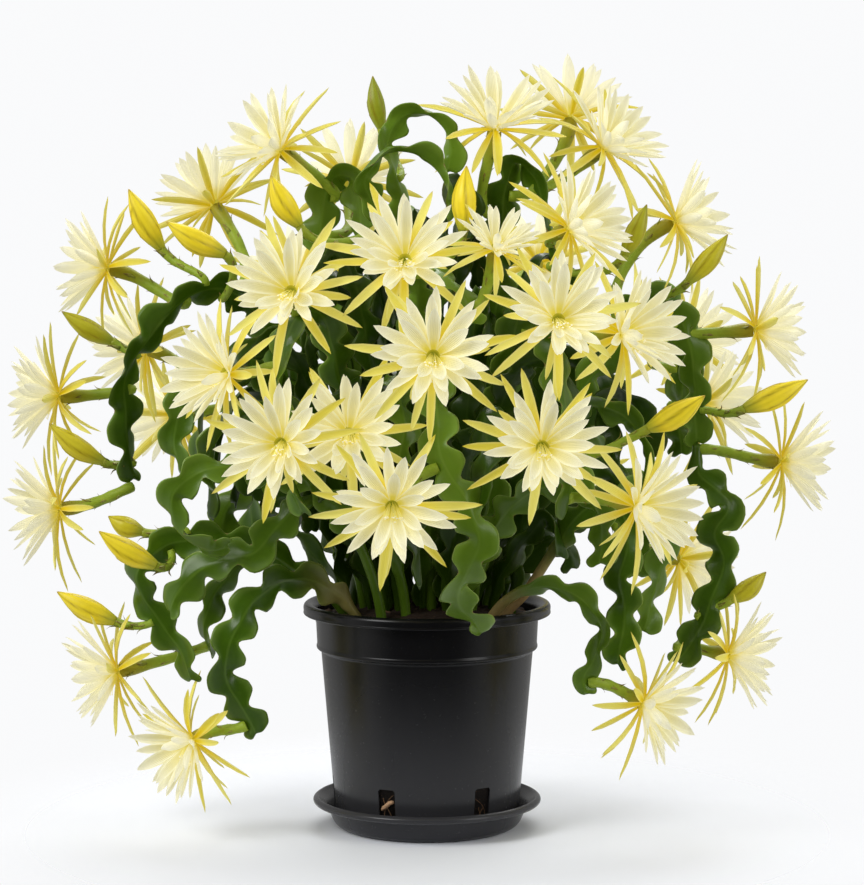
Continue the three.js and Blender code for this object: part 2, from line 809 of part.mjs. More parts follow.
// The floral tube from an areole to the back of its bloom.
function flowerTube(stem, bloom) {
  const axis = facing(bloom.azimuth, bloom.elevation);
  const hub = V(...bloom.hub);
  const areole = nearestAreole(stem, hub.clone().addScaledVector(axis, -TUBE.reach));
  const end = hub.clone().addScaledVector(axis, -GAP);
  const reach = areole.point.distanceTo(end);
  const curve = new THREE.CubicBezierCurve3(
    areole.inner,
    areole.point.clone().addScaledVector(areole.out, reach * 0.3),
    end.clone().addScaledVector(axis, -reach * 0.4),
    end,
  );
  const points = curve.getPoints(TUBE.steps);
  points[TUBE.steps - 1] = end.clone().addScaledVector(axis, -reach * 0.16);
  const radii = points.map((point, k) => (k < TUBE.steps - 1 ? TUBE.radius : TUBE.hubRadius));
  return stalkSolid(points, radii, TUBE.sides, TUBE.bractPull, false);
}

function budSolid(stem, [base, tip]) {
  const from = V(...base);
  const to = V(...tip);
  const along = to.clone().sub(from).normalize();
  const areole = nearestAreole(stem, from.clone().addScaledVector(along, -BUD.stalkReach));
  const points = [areole.inner];
  const radii = [TUBE.radius];
  for (const [share, radius] of BUD.profile) {
    points.push(from.clone().lerp(to, share));
    radii.push(radius);
  }
  points.push(to);
  radii.push(0);
  return stalkSolid(points, radii, BUD.sides, 0, true);
}

function stemSolid(stem) {
  let solid = ribbonSolid(stem.ribbons[0], stem.frames[0]);
  for (let r = 1; r < stem.ribbons.length; r += 1) {
    solid = solid.add(ribbonSolid(stem.ribbons[r], stem.frames[r]));
  }
  for (const bloom of BLOOMS.filter((one) => one.stem === stem.name)) {
    solid = solid.add(flowerTube(stem, bloom));
  }
  for (const bud of stem.buds) {
    solid = solid.add(budSolid(stem, bud));
  }
  return solid;
}

// ---------------------------------------------------------------- blooms

// One tepal of a bloom, as the corners of its middle section and its tip. The middle has two
// edges and a ridge: towards the bloom's front on an outer tepal, at its back on an inner one.
function tepal(shape, turn, bend, share, isOuter, grow) {
  const radial = V(Math.cos(turn), Math.sin(turn), 0);
  const tangent = V(-Math.sin(turn), Math.cos(turn), 0);
  const along = (angle) => radial.clone().multiplyScalar(Math.sin(angle))
    .addScaledVector(UP, Math.cos(angle));
  const root = radial.clone().multiplyScalar(BLOOM.throatRadius - 1)
    .addScaledVector(UP, isOuter ? BLOOM.hubDepth * 0.35 : BLOOM.hubDepth * 0.65);
  const midAngle = (shape.midAngle + bend) * DEG;
  const tipAngle = (shape.tipAngle + bend * 1.2) * DEG;
  const middle = root.clone().addScaledVector(along(midAngle), shape.midReach * share);
  const tip = root.clone().addScaledVector(along(tipAngle), shape.tipReach * share + grow * 2);
  const front = along(midAngle - Math.PI / 2).multiplyScalar(isOuter ? 1 : -1);
  const half = (shape.width / 2) * Math.sqrt(share) + grow;
  const left = middle.clone().addScaledVector(tangent, -half).addScaledVector(front, -grow);
  const right = middle.clone().addScaledVector(tangent, half).addScaledVector(front, -grow);
  const ridge = middle.clone().addScaledVector(front, shape.thickness + grow);
  return { corners: isOuter ? [left, right, ridge] : [left, ridge, right], tip };
}

function bloomRing(radius, z, offset) {
  const ring = [];
  for (let i = 0; i < BLOOM.tepalsPerRing; i += 1) {
    const angle = ((i + offset) / BLOOM.tepalsPerRing) * 2 * Math.PI;
    ring.push(V(radius * Math.cos(angle), radius * Math.sin(angle), z));
  }
  return ring;
}

// The band round a bloom's hub is a row of triangles, and each one is the root of a tepal:
// those that stand on the lower ring carry the outer tepals, the others the inner ones.
function bloomCells() {
  const lower = bloomRing(BLOOM.baseRadius, 0, 0);
  const upper = bloomRing(BLOOM.throatRadius, BLOOM.hubDepth, 0.5);
  const count = BLOOM.tepalsPerRing;
  const cells = [];
  for (let i = 0; i < count; i += 1) {
    const j = (i + 1) % count;
    const step = (2 * Math.PI) / count;
    cells.push({ root: [lower[i], lower[j], upper[i]], turn: (i + 0.5) * step, isOuter: true });
    cells.push({ root: [upper[i], lower[j], upper[j]], turn: (i + 1) * step, isOuter: false });
  }
  return { lower, upper, cells };
}

function bloomGeometry(tepals) {
  const { lower, upper, cells } = bloomCells();
  const triangles = [];
  cells.forEach(({ root }, k) => {
    const { corners, tip } = tepals[k];
    for (let i = 0; i < 3; i += 1) {
      const j = (i + 1) % 3;
      triangles.push([root[i], root[j], corners[j]], [root[i], corners[j], corners[i]]);
      triangles.push([corners[i], corners[j], tip]);
    }
  });
  const back = V(0, 0, 0);
  const stamens = V(0, -BLOOM.stamenDroop, BLOOM.stamenReach);
  for (let i = 0; i < lower.length; i += 1) {
    const j = (i + 1) % lower.length;
    triangles.push([lower[j], lower[i], back], [upper[i], upper[j], stamens]);
  }
  const points = triangles.flat();
  const faces = triangles.map((_, k) => [3 * k, 3 * k + 1, 3 * k + 2]);
  return geometryFrom(points, faces);
}

function bloomPlace(bloom) {
  const front = facing(bloom.azimuth, bloom.elevation);
  const across = UP.clone().cross(front).normalize();
  const size = bloom.size ?? 1;
  return new THREE.Matrix4().makeBasis(across, front.clone().cross(across), front)
    .setPosition(V(...bloom.hub))
    .scale(V(size, size, size));
}

function isClear(solid, others) {
  const box = solid.boundingBox();
  for (const other of others) {
    const apart = [0, 1, 2].some((k) => box.min[k] > other.box.max[k] || box.max[k] < other.box.min[k]);
    if (!apart && solid.intersect(other.solid).volume() > 1e-6) {
      return false;
    }
  }
  return true;
}

// Where a tepal would meet a neighbour it is bent back or forward, and failing that it is shorter.
const OUTER_BENDS = [0, 8, 16, -8, 24, 32];
const INNER_BENDS = [0, -7, 7, -14, -21, 12];
const SHARES = [1, 0.88, 0.75, 0.6, 0.45, 0.3];

function placedTepal(cell, place, seed, neighbours) {
  const shape = cell.isOuter ? BLOOM.outer : BLOOM.inner;
  const bends = cell.isOuter ? OUTER_BENDS : INNER_BENDS;
  const lean = (draw(seed) - 0.5) * (cell.isOuter ? 12 : 5);
  const length = 0.94 + 0.1 * draw(seed + 0.5);
  for (const share of SHARES) {
    for (const bend of bends) {
      const wide = tepal(shape, cell.turn, bend + lean, share * length, cell.isOuter, CLEARANCE);
      const rootCentre = cell.root.reduce((sum, p) => sum.clone().add(p)).divideScalar(3);
      const root = cell.root.map((p) => p.clone().lerp(rootCentre, 0.1));
      const rings = [root, wide.corners, [wide.tip]];
      const trial = loft(rings.map((ring) => ring.map((p) => p.clone().applyMatrix4(place))));
      if (isClear(trial, neighbours)) {
        return tepal(shape, cell.turn, bend + lean, share * length, cell.isOuter, 0);
      }
    }
  }
  return tepal(shape, cell.turn, 0, SHARES.at(-1) * 0.5, cell.isOuter, 0);
}

// ---------------------------------------------------------------- the whole plant

const BLACK_PLASTIC = coloured(0x17181a, 0.42);
const BARK = coloured(0x2c2018, 0.95);
const GREEN = coloured(0x3f6d2b, 0.5);
const CREAM = coloured(0xf2eeb8, 0.55);

for (const stem of STEMS) {
  stem.frames = stem.ribbons.map(ribbonFrames);
  stem.areoles = areolesOf(stem);
}

let mix = pottingMix();
for (const stem of STEMS) {
  mix = mix.subtract(stemHole(stem.ribbons[0], stem.frames[0]));
}

addPiece('saucer', geometryOf(saucer()), BLACK_PLASTIC);
addPiece('pot', geometryOf(pot()), BLACK_PLASTIC);
addPiece('potting_mix', geometryOf(mix), BARK);

const neighbours = [];
for (const stem of STEMS) {
  const solid = stemSolid(stem);
  neighbours.push({ solid, box: solid.boundingBox() });
  addPiece(stem.name, geometryOf(solid), GREEN);
}

BLOOMS.forEach((bloom, number) => {
  const place = bloomPlace(bloom);
  const { cells } = bloomCells();
  const tepals = cells.map((cell, k) => placedTepal(cell, place, number * 40 + k, neighbours));
  const geometry = bloomGeometry(tepals).applyMatrix4(place);
  const solid = solidFrom(geometry);
  neighbours.push({ solid, box: solid.boundingBox() });
  addPiece(`bloom_${String(number + 1).padStart(2, '0')}`, geometryOf(solid), CREAM);
});

export default plant;
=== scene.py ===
"""An orchid cactus in flower, in its nursery pot on a saucer: its looks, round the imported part.

Metres, +Z up, the plant's front towards -Y. Lengths in the tables and in the named values are
millimetres, as in the part's own source, and are turned to metres where a mesh is made. Only the
studio's are metres.
"""

import math
import random

import bpy
import numpy as np
from mathutils import Matrix, Vector
from mathutils.bvhtree import BVHTree


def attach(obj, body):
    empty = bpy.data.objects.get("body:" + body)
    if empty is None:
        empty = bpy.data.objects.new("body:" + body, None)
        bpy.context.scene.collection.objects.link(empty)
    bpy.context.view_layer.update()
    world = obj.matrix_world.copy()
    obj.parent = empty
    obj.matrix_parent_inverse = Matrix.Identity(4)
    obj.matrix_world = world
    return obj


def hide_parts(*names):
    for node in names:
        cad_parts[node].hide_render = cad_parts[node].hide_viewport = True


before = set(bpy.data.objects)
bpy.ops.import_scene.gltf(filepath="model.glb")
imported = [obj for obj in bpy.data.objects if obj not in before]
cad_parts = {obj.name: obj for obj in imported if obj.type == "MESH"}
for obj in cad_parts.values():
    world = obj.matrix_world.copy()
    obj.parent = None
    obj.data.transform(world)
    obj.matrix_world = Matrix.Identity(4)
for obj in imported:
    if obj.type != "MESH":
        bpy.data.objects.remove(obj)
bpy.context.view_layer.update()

MM = 0.001

# ------------------------------------------------------------ sizes shared with the solids

GAP = 0.3

SAUCER = {
    "foot_radius": 88, "lip_radius": 115.5, "lip_width": 12.5, "lip_depth": 7.5, "height": 31,
    "floor": 3, "wall": 2,
}

POT = {
    "height": 225, "rim_radius": 125, "rim_depth": 11, "band_radius": 113, "ledge_height": 181,
    "ledge_step": 4, "foot_radius": 92, "foot_round": 4, "wall": 2.2, "floor": 2.5, "band_taper": 2,
}

WINDOW = {
    "count": 6, "first_angle": -24.8, "width": 18, "top": 53, "under_floor": 11, "corner": 2, "cut": 30,
}

MIX = {"below_rim": 15.5, "dome": 17, "sunk_stem": 41}

STEM = {
    "stalk_radius": 5, "flare": 45, "tip_length": 26, "tip_share": 0.45, "lobe_pitch": 39,
    "notch_depth": 0.62, "ripple": 6, "ripple_length": 95, "width_share": 0.9,
}

TUBE = {"radius": 3.9, "hub_radius": 5.8, "reach": 72}

BUD = {"stalk_reach": 34, "stalk_radius": 4}

HUB = {"back_radius": 5.8, "throat_radius": 7.6, "height": 7.5, "throat_depth": 6}

POT_BASE = SAUCER["floor"] + GAP
POT_RIM = POT_BASE + POT["height"]
MIX_TOP = POT_RIM - MIX["below_rim"]
MIX_DEPTH = MIX_TOP - MIX["sunk_stem"]
WINDOW_ANGLES = [
    math.radians(WINDOW["first_angle"] + 360 * k / WINDOW["count"]) for k in range(WINDOW["count"])
]

# ------------------------------------------------------------ sizes of the finer forms

# Where each run of random draws starts.
SEEDS = {"mix": 7, "chips": 21, "roots": 5, "inner_stem": 700, "tepals": 100, "stamens": 300}

POT_FACETS = 180
POT_EDGE_DEGREES = 38

# The potting mix: how uneven its top is, and how many facets and rings it has.
MIX_LUMPS = {"height": 3, "facets": 96, "rings": 26}

# Bark chips by half of each measure, how many of them lie on a square metre, how much smaller or
# larger they get, and how many corners the ground under them has.
CHIP = {"shapes": 6, "length": (5, 9), "width": (2.4, 4.5), "thickness": (1.1, 2.2)}
CHIPS_PER_AREA = 9000
CHIP_SIZES = (0.5, 1.5)
CHIP_GROUND_FACETS = 40

# Roots at the drainage windows: the first strand at every third window is a stout root.
ROOT_STRANDS = 3
STOUT_EVERY = 3
STOUT_ROOT = {"low": 27, "high": 37, "lean": -0.1, "thick": 2.3}
THIN_ROOT = {"low": (4, 20), "high": (26, 48), "lean": (-0.08, 0.08), "thick": (0.3, 0.5)}

# From one point of a flat stem's midrib to the next, about.
MIDRIB_STEP = 3

# The blade of a flat stem. rib: how far the midrib stands out. fold: how far its edges sway.
# lobe_lag: how far its lobes lean along it, in radians. cleft: the dip at its tip.
BLADE = {
    "half_thickness": 1.4, "rib": 1.7, "rib_width": 3.2, "fold": 6, "lobe_lag": 0.2,
    "blunt_tip": 11, "blunt_foot": 1.5, "tip_cleft": 7, "cleft_width": 4.5, "cleft_from_tip": 14,
}

# A flower tube. stoutness: its thickness in tube radii, and wave: how much that changes along it.
# swell_from and swell_over: where it swells towards the bloom, as shares of its length.
TUBE_FORM = {"steps": 26, "stoutness": 1.4, "wave": 0.08, "swell_from": 0.62, "swell_over": 0.34}

# Bracts up a tube. first and pitch: as shares of its length. turn: from one to the next round it,
# in radians.
BRACT = {"count": 12, "length": 10, "first": 0.14, "pitch": 0.068, "turn": 2.4}

# slimmer: how much slimmer a green bud is than a golden one, as a share.
BUD_FORM = {"stalk_steps": 16, "tepals": 5, "facets": 40, "slimmer": 0.24}

# A bud's radii at shares of the way from its base to its tip, and the shares where its rings are.
BUD_SHARES = [0, 0.06, 0.16, 0.3, 0.42, 0.54, 0.66, 0.78, 0.88, 0.95, 1]
BUD_RADII = [4.8, 6.2, 8.4, 10.8, 11.6, 11.1, 9.4, 6.8, 4, 2, 0.5]
BUD_RINGS = [
    0, 0.03, 0.08, 0.15, 0.22, 0.3, 0.38, 0.46, 0.54, 0.62, 0.7, 0.77, 0.84, 0.9, 0.95, 0.985,
]

# ------------------------------------------------------------ how the plant grows
# Each basal stem has its own flat stems: the first rises from the potting mix, the others
# branch from it.


def flat_stem(path, face, twist, stalk, width, slender=1):
    """path: points along the midrib, the first of a basal stem without its depth. face: the way
    the flat side looks at the start, in degrees from the front towards +X. twist: its turn along
    the whole of it. stalk: how far it goes on as a round stalk before it widens. slender: the
    thickness of that stalk, as a share of the usual one."""
    return {
        "path": path, "face": face, "twist": twist, "stalk": stalk, "width": width, "slender": slender,
    }


def basal_stem(name, ribbons, buds=(), fineness=1.15):
    """A basal stem with its flat stems, and with its buds, each by its base and its tip.
    fineness: steps along a flat stem for each point of its midrib."""
    return {"name": "stem_" + name, "ribbons": ribbons, "buds": buds, "fineness": fineness}


def bloom_at(x, y, z, azimuth, elevation, stem, size=1):
    """A bloom by its hub's place, the way it looks in degrees, and the basal stem that bears it."""
    stem = "stem_" + stem
    return {"hub": [x, y, z], "azimuth": azimuth, "elevation": elevation, "stem": stem, "size": size}


STEMS = [
    basal_stem("front_arch", [
        flat_stem([(4, -34), (4, -44, 250), (2, -62, 350), (0, -100, 440), (2, -150, 490),
            (6, -198, 478), (10, -228, 435), (14, -240, 395), (38, -246, 356), (48, -240, 318),
            (34, -222, 282), (30, -200, 256), (45, -182, 236), (56, -168, 218)],
            face=0, twist=10, stalk=90, width=44),
    ]),
    basal_stem("front_left", [
        flat_stem([(-34, -24), (-42, -34, 250), (-60, -52, 360), (-84, -90, 460), (-102, -140, 528),
            (-120, -178, 525), (-136, -198, 478), (-140, -206, 425), (-128, -205, 375),
            (-112, -200, 335)], face=-20, twist=30, stalk=80, width=44),
        flat_stem([(-60, -52, 360), (-108, -64, 404), (-150, -90, 432), (-190, -108, 420),
            (-214, -114, 384), (-206, -112, 346)], face=10, twist=-50, stalk=12, width=42),
    ]),
    basal_stem("front_right", [
        flat_stem([(38, -28), (48, -38, 250), (64, -56, 360), (78, -92, 460), (92, -145, 535),
            (108, -188, 530), (122, -205, 478), (130, -208, 425), (134, -198, 375), (128, -186, 330)],
            face=20, twist=-30, stalk=80, width=44),
        flat_stem([(64, -56, 360), (110, -72, 402), (158, -98, 436), (194, -108, 426), (214, -110, 390),
            (210, -108, 350)], face=-10, twist=60, stalk=12, width=42),
    ], buds=[((208, -220, 423), (258, -240, 455))]),
    basal_stem("centre", [
        flat_stem([(-4, 6), (-6, 4, 260), (-10, -4, 370), (-16, -12, 480), (-22, -28, 580),
            (-30, -48, 650), (-40, -56, 690), (-26, -60, 716), (2, -60, 718), (24, -58, 694),
            (22, -54, 654)], face=25, twist=20, stalk=180, width=32),
        flat_stem([(-24, -34, 596), (-50, -60, 624), (-62, -78, 654), (-36, -88, 682), (0, -88, 676),
            (22, -84, 646), (26, -80, 610)], face=15, twist=30, stalk=8, width=32),
        flat_stem([(-12, -8, 400), (-10, -50, 500), (-6, -106, 560), (10, -148, 566), (30, -170, 550),
            (46, -178, 512)], face=-15, twist=40, stalk=60, width=42),
    ], buds=[((-45, 0, 702), (-54, 0, 756)), ((35, -130, 605), (38, -130, 667))]),
    basal_stem("top_left", [
        flat_stem([(-28, 18), (-38, 16, 260), (-60, 10, 370), (-84, -6, 480), (-104, -18, 570),
            (-104, -24, 624), (-90, -28, 658), (-72, -32, 654), (-64, -34, 620), (-66, -36, 582)],
            face=0, twist=15, stalk=120, width=44),
    ], buds=[((-123, -120, 610), (-149, -130, 658))]),
    basal_stem("left_arch", [
        flat_stem([(-56, -2), (-68, -2, 250), (-96, -2, 350), (-130, -4, 440), (-162, -6, 505),
            (-190, -14, 540), (-218, -32, 546), (-246, -48, 532), (-274, -58, 500), (-298, -60, 462),
            (-299, -56, 424), (-297, -48, 388), (-290, -40, 350)], face=0, twist=0, stalk=80, width=43),
        flat_stem([(-130, -4, 440), (-164, -44, 462), (-204, -70, 462), (-236, -78, 438),
            (-246, -80, 398), (-238, -78, 360)], face=10, twist=70, stalk=10, width=40),
    ], buds=[((-264, -20, 585), (-295, -30, 644)), ((-197, -80, 581), (-253, -90, 613)),
        ((-311, -40, 493), (-360, -50, 524)), ((-320, -60, 376), (-371, -70, 415))]),
    basal_stem("left_hanging", [
        flat_stem([(-76, -14), (-82, -15, 215), (-104, -19, 243), (-150, -36, 276), (-205, -58, 298),
            (-256, -68, 294), (-287, -60, 262), (-268, -52, 222), (-244, -50, 186), (-232, -50, 150)],
            face=15, twist=10, stalk=80, width=42),
        flat_stem([(-170, -44, 286), (-196, -34, 262), (-216, -28, 230), (-222, -26, 200),
            (-210, -28, 172)], face=40, twist=90, stalk=8, width=30),
    ], buds=[((-265, -100, 278), (-319, -110, 313)), ((-281, -60, 306), (-315, -60, 322)),
        ((-311, -40, 214), (-369, -40, 244))]),
    basal_stem("left_rim", [
        flat_stem([(-60, -46), (-67, -51, 215), (-92, -60, 245), (-128, -78, 262), (-164, -100, 248),
            (-186, -110, 218), (-197, -109, 184), (-194, -104, 160), (-180, -98, 136), (-165, -91, 104)],
            face=32, twist=10, stalk=55, width=44),
    ]),
    basal_stem("left_curl", [
        flat_stem([(-40, -66), (-50, -74, 250), (-78, -92, 320), (-116, -118, 362), (-160, -140, 376),
            (-206, -152, 378), (-240, -152, 356), (-240, -144, 322), (-212, -134, 300),
            (-186, -126, 304)], face=0, twist=70, stalk=120, width=40),
        flat_stem([(-100, -106, 350), (-134, -116, 330), (-168, -112, 292), (-202, -108, 284),
            (-236, -104, 260), (-254, -98, 226)], face=0, twist=30, stalk=8, width=44),
    ]),
    basal_stem("right_woody", [
        flat_stem([(62, -32), (74, -37, 215), (98, -48, 244), (128, -62, 292), (158, -74, 332),
            (186, -80, 336), (198, -80, 300), (190, -76, 264), (196, -72, 228), (192, -68, 196),
            (188, -66, 168)], face=-25, twist=20, stalk=130, width=42),
        flat_stem([(160, -72, 332), (205, -56, 345), (236, -52, 320), (234, -54, 284), (222, -56, 240),
            (212, -56, 200)], face=0, twist=-20, stalk=8, width=40),
    ]),
    basal_stem("right_rim", [
        flat_stem([(52, -62), (60, -70, 215), (80, -84, 243), (112, -104, 258), (146, -120, 252),
            (170, -122, 222), (164, -116, 190), (154, -110, 168), (160, -108, 146)],
            face=-34, twist=15, stalk=90, width=26),
    ]),
    basal_stem("right_arch", [
        flat_stem([(52, 6), (66, 6, 250), (100, 2, 350), (146, -4, 430), (192, -10, 490),
            (228, -16, 524), (254, -18, 512), (266, -18, 470), (268, -20, 425), (270, -26, 385)],
            face=0, twist=10, stalk=80, width=42),
        flat_stem([(270, -24, 392), (270, -32, 362), (300, -40, 332), (286, -42, 302), (296, -42, 274),
            (286, -42, 244), (272, -42, 206), (246, -42, 168)], face=0, twist=20, stalk=8, width=42),
    ], buds=[((256, -60, 553), (295, -60, 600)), ((312, -70, 429), (374, -70, 458)),
        ((302, -40, 235), (338, -40, 264))]),
    basal_stem("right_back", [
        flat_stem([(44, 40), (56, 46, 250), (96, 52, 350), (146, 58, 440), (196, 62, 505),
            (236, 64, 532), (258, 62, 505), (262, 62, 455), (258, 64, 405), (262, 70, 365)],
            face=0, twist=-10, stalk=80, width=44),
        flat_stem([(74, 49, 300), (116, 56, 346), (164, 60, 366), (206, 62, 342), (222, 64, 292),
            (214, 64, 240)], face=0, twist=25, stalk=10, width=44),
    ]),
    basal_stem("top_right", [
        flat_stem([(22, 6), (30, 4, 260), (46, 0, 370), (62, -6, 480), (74, -14, 570), (76, -30, 640),
            (88, -44, 672), (108, -48, 656), (118, -54, 615), (124, -62, 570)],
            face=0, twist=20, stalk=120, width=42),
    ], buds=[((191, -100, 580), (212, -110, 630))]),
    basal_stem("back_left", [
        flat_stem([(-30, 46), (-36, 56, 250), (-50, 80, 350), (-74, 112, 450), (-100, 142, 530),
            (-112, 170, 570), (-118, 200, 550), (-124, 214, 500), (-130, 220, 450)],
            face=0, twist=20, stalk=60, width=44),
        flat_stem([(-62, 98, 410), (-40, 130, 500), (-20, 140, 580), (-6, 150, 610), (6, 170, 590),
            (10, 190, 540)], face=0, twist=-40, stalk=20, width=42),
        flat_stem([(-50, 80, 350), (-98, 114, 398), (-146, 132, 402), (-178, 142, 362),
            (-184, 144, 306), (-172, 140, 252)], face=0, twist=20, stalk=10, width=44),
    ]),
    basal_stem("left_back", [
        flat_stem([(-60, 34), (-72, 42, 250), (-104, 60, 340), (-146, 82, 410), (-186, 98, 445),
            (-214, 106, 452), (-232, 110, 426), (-236, 110, 382), (-230, 110, 340)],
            face=0, twist=30, stalk=60, width=44),
        flat_stem([(-120, 68, 370), (-148, 120, 424), (-168, 168, 436), (-184, 204, 400),
            (-190, 214, 350)], face=60, twist=20, stalk=12, width=42),
        flat_stem([(-90, 52, 300), (-134, 66, 342), (-180, 74, 344), (-210, 78, 304), (-208, 78, 252)],
            face=0, twist=-20, stalk=10, width=42),
    ]),
    basal_stem("back_right", [
        flat_stem([(18, 52), (24, 64, 250), (40, 92, 350), (62, 130, 450), (84, 170, 520),
            (98, 208, 535), (108, 232, 500), (112, 240, 450), (110, 240, 400)],
            face=0, twist=0, stalk=60, width=44),
        flat_stem([(50, 110, 400), (108, 130, 420), (160, 150, 402), (190, 156, 352), (200, 152, 292)],
            face=0, twist=-30, stalk=12, width=42),
        flat_stem([(28, 70, 290), (20, 104, 370), (-2, 130, 420), (-34, 150, 420), (-56, 162, 372),
            (-60, 168, 312)], face=0, twist=30, stalk=20, width=44),
    ]),
    basal_stem("low_left", [
        flat_stem([(-18, -56), (-24, -64, 250), (-46, -92, 330), (-58, -120, 400), (-50, -146, 452),
            (-34, -172, 462), (-22, -190, 428), (-28, -192, 384)], face=20, twist=20, stalk=90, width=42),
    ]),
    basal_stem("low_right", [
        flat_stem([(26, -60), (38, -74, 250), (66, -106, 316), (104, -136, 356), (146, -150, 362),
            (168, -154, 326), (166, -154, 280)], face=0, twist=-20, stalk=70, width=42),
    ]),
]

BLOOMS = [
    bloom_at(-124, -230, 549, -15, 15, "front_left"),
    bloom_at(-20, -235, 578, 0, 20, "centre"),
    bloom_at(6, -320, 496, 0, 5, "front_arch"),
    bloom_at(119, -270, 525, 12, 15, "front_right"),
    bloom_at(104, -310, 414, 5, 0, "front_right"),
    bloom_at(193, -240, 352, 50, -5, "front_right"),
    bloom_at(-131, -290, 415, -15, 0, "front_left"),
    bloom_at(-72, -240, 419, 0, 5, "front_left"),
    bloom_at(-31, -330, 363, 0, -8, "front_arch"),
    bloom_at(-185, -190, 471, -50, 5, "front_left"),
    bloom_at(183, -180, 508, 45, 10, "front_right"),
    bloom_at(64, -180, 587, 20, 50, "centre", size=0.72),
    bloom_at(134, -130, 606, 60, 20, "top_right"),
    bloom_at(66, -60, 701, 10, 60, "top_right"),
    bloom_at(145, 50, 712, 170, 55, "top_right"),
    bloom_at(173, -10, 683, 60, 35, "top_right"),
    bloom_at(246, 0, 610, 80, 20, "right_arch"),
    bloom_at(325, -20, 504, 85, 5, "right_arch"),
    bloom_at(349, -40, 374, 85, -3, "right_arch"),
    bloom_at(283, 90, 422, 110, 10, "right_back"),
    bloom_at(299, -30, 179, 80, -8, "right_arch"),
    bloom_at(211, -90, 142, 60, -20, "right_rim"),
    bloom_at(-142, -50, 681, -60, 30, "top_left"),
    bloom_at(-212, 20, 625, -140, 40, "left_arch"),
    bloom_at(-79, 90, 649, 170, 40, "top_left"),
    bloom_at(-317, 0, 564, -88, 8, "left_arch"),
    bloom_at(-365, -20, 438, -85, 3, "left_arch"),
    bloom_at(-365, -20, 325, -85, -3, "left_arch"),
    bloom_at(-309, -20, 161, -80, -10, "left_hanging"),
    bloom_at(-230, -70, 101, -55, -25, "left_rim"),
    bloom_at(-288, 110, 476, -110, 10, "left_back"),
    bloom_at(-140, 280, 545, -160, 10, "back_left"),
    bloom_at(120, 285, 560, 165, 20, "back_right"),
    bloom_at(-265, 210, 400, -130, 0, "left_back"),
    bloom_at(5, 330, 430, 180, 0, "back_right"),
    bloom_at(270, 190, 480, 130, 10, "right_back"),
    bloom_at(150, 300, 320, 160, -10, "back_right"),
    bloom_at(265, 170, 250, 125, -10, "back_right"),
]

# The inner flat stems count as one basal stem, made less finely.
INNER_STEM = basal_stem("inner", [], fineness=0.6)

# How woody a basal stem's stalk is, and how pale and freshly grown its flat stems are, from 0
# to 1. Under 0 they are darker than the rest: painted shade, for the inner stems deep in the
# crown.
WOODY = {"stem_right_woody": 1, "stem_right_rim": 0.8, "stem_left_rim": 0.5, "stem_back_left": 0.6}
FRESH_AND_SHADED = {
    "stem_inner": -0.85, "stem_front_arch": 0.5, "stem_left_curl": 0.2, "stem_centre": 0.35,
    "stem_top_left": 0.3,
}

# The buds that are still green, by stem and number; the others are golden.
GREEN_BUDS = {
    ("stem_centre", 0): 1, ("stem_left_arch", 2): 0.7, ("stem_left_arch", 3): 0.4,
    ("stem_top_right", 0): 0.8, ("stem_right_arch", 0): 0.6, ("stem_right_arch", 2): 0.6,
    ("stem_left_hanging", 1): 0.5,
}

# The flat stems that fill the crown from inside. count: how many are tried, each in so many tries,
# and turn: from one to the next round the pot. root: how far out they stand in it, and front_root:
# the most towards the front. top and hang: how high they go, and how far the end hangs from there.
# reach: how far out the lowest ones go; the higher ones stay under a dome. bloom_room: how far they
# keep from what lies so far ahead of a hub, and over_rim: from the pot's rim.
INNER = {
    "count": 170, "tries": 45, "turn": 137.5, "root": (8, 84), "front_root": 30, "top": (280, 650),
    "hang": (30, 210), "reach": 245, "lowest_dome": 230, "highest_dome": 680, "sway": 80,
    "bloom_room": 43, "ahead": 16, "over_rim": 18, "over_mix": 8, "width": 43, "face": (-60, 60),
    "twist": (-110, 110), "stalk": (30, 90), "slender": (0.55, 0.95), "width_share": (0.65, 1.08),
}

# Whorls of a bloom, from the back to the front. opening: how far its tepals lean out from the
# way the bloom looks. seat: how high over the hub's base they grow. reach and width: of one.
WHORLS = [
    {"kind": "outer", "count": 3, "opening": 122, "seat": 0.8, "reach": 52, "width": 8},
    {"kind": "outer", "count": 5, "opening": 101, "seat": 1.8, "reach": 69, "width": 8.5},
    {"kind": "outer", "count": 7, "opening": 79, "seat": 2.8, "reach": 73, "width": 9},
    {"kind": "inner", "count": 11, "opening": 58, "seat": 4.2, "reach": 59, "width": 11.5},
    {"kind": "inner", "count": 9, "opening": 47, "seat": 5.4, "reach": 58, "width": 12.5},
    {"kind": "inner", "count": 7, "opening": 35, "seat": 6.6, "reach": 54, "width": 12.5},
]

# How far up a bloom's cup of inner tepals tips where it faces the front, in degrees.
CUP_TILT = 15

# How far a tepal's tip bends back from a straight line, as a share of its length, and how far
# its edges curl in.
BENDS = {"outer": [0.1, 0.2, 0.32, 0], "inner": [-0.06, 0.02, 0.07, -0.1]}
CUPS = {"outer": 0.035, "inner": 0.05}

# Half widths of a tepal from root to tip, as shares of the widest.
TEPAL_STATIONS = [0, 0.12, 0.32, 0.56, 0.78, 0.92]
TEPAL_WIDTHS = {"outer": [0.5, 0.66, 0.92, 1, 0.84, 0.46], "inner": [0.44, 0.6, 0.86, 1, 0.82, 0.42]}

# Round a tepal's section: how far across, and how thick over the face or under it.
TEPAL_SECTION = [(1, 0), (0.5, 1), (0, 1), (-0.5, 1), (-1, 0), (-0.5, -1), (0, -1.5), (0.5, -1)]

# reach, lean and spread: of the bundle in a bloom. bends, length and radius: of the templates.
STAMENS = {
    "count": 60, "reach": 21, "lean": 32, "spread": 22, "bends": (3, 6, 9), "length": 28,
    "radius": 0.42,
}

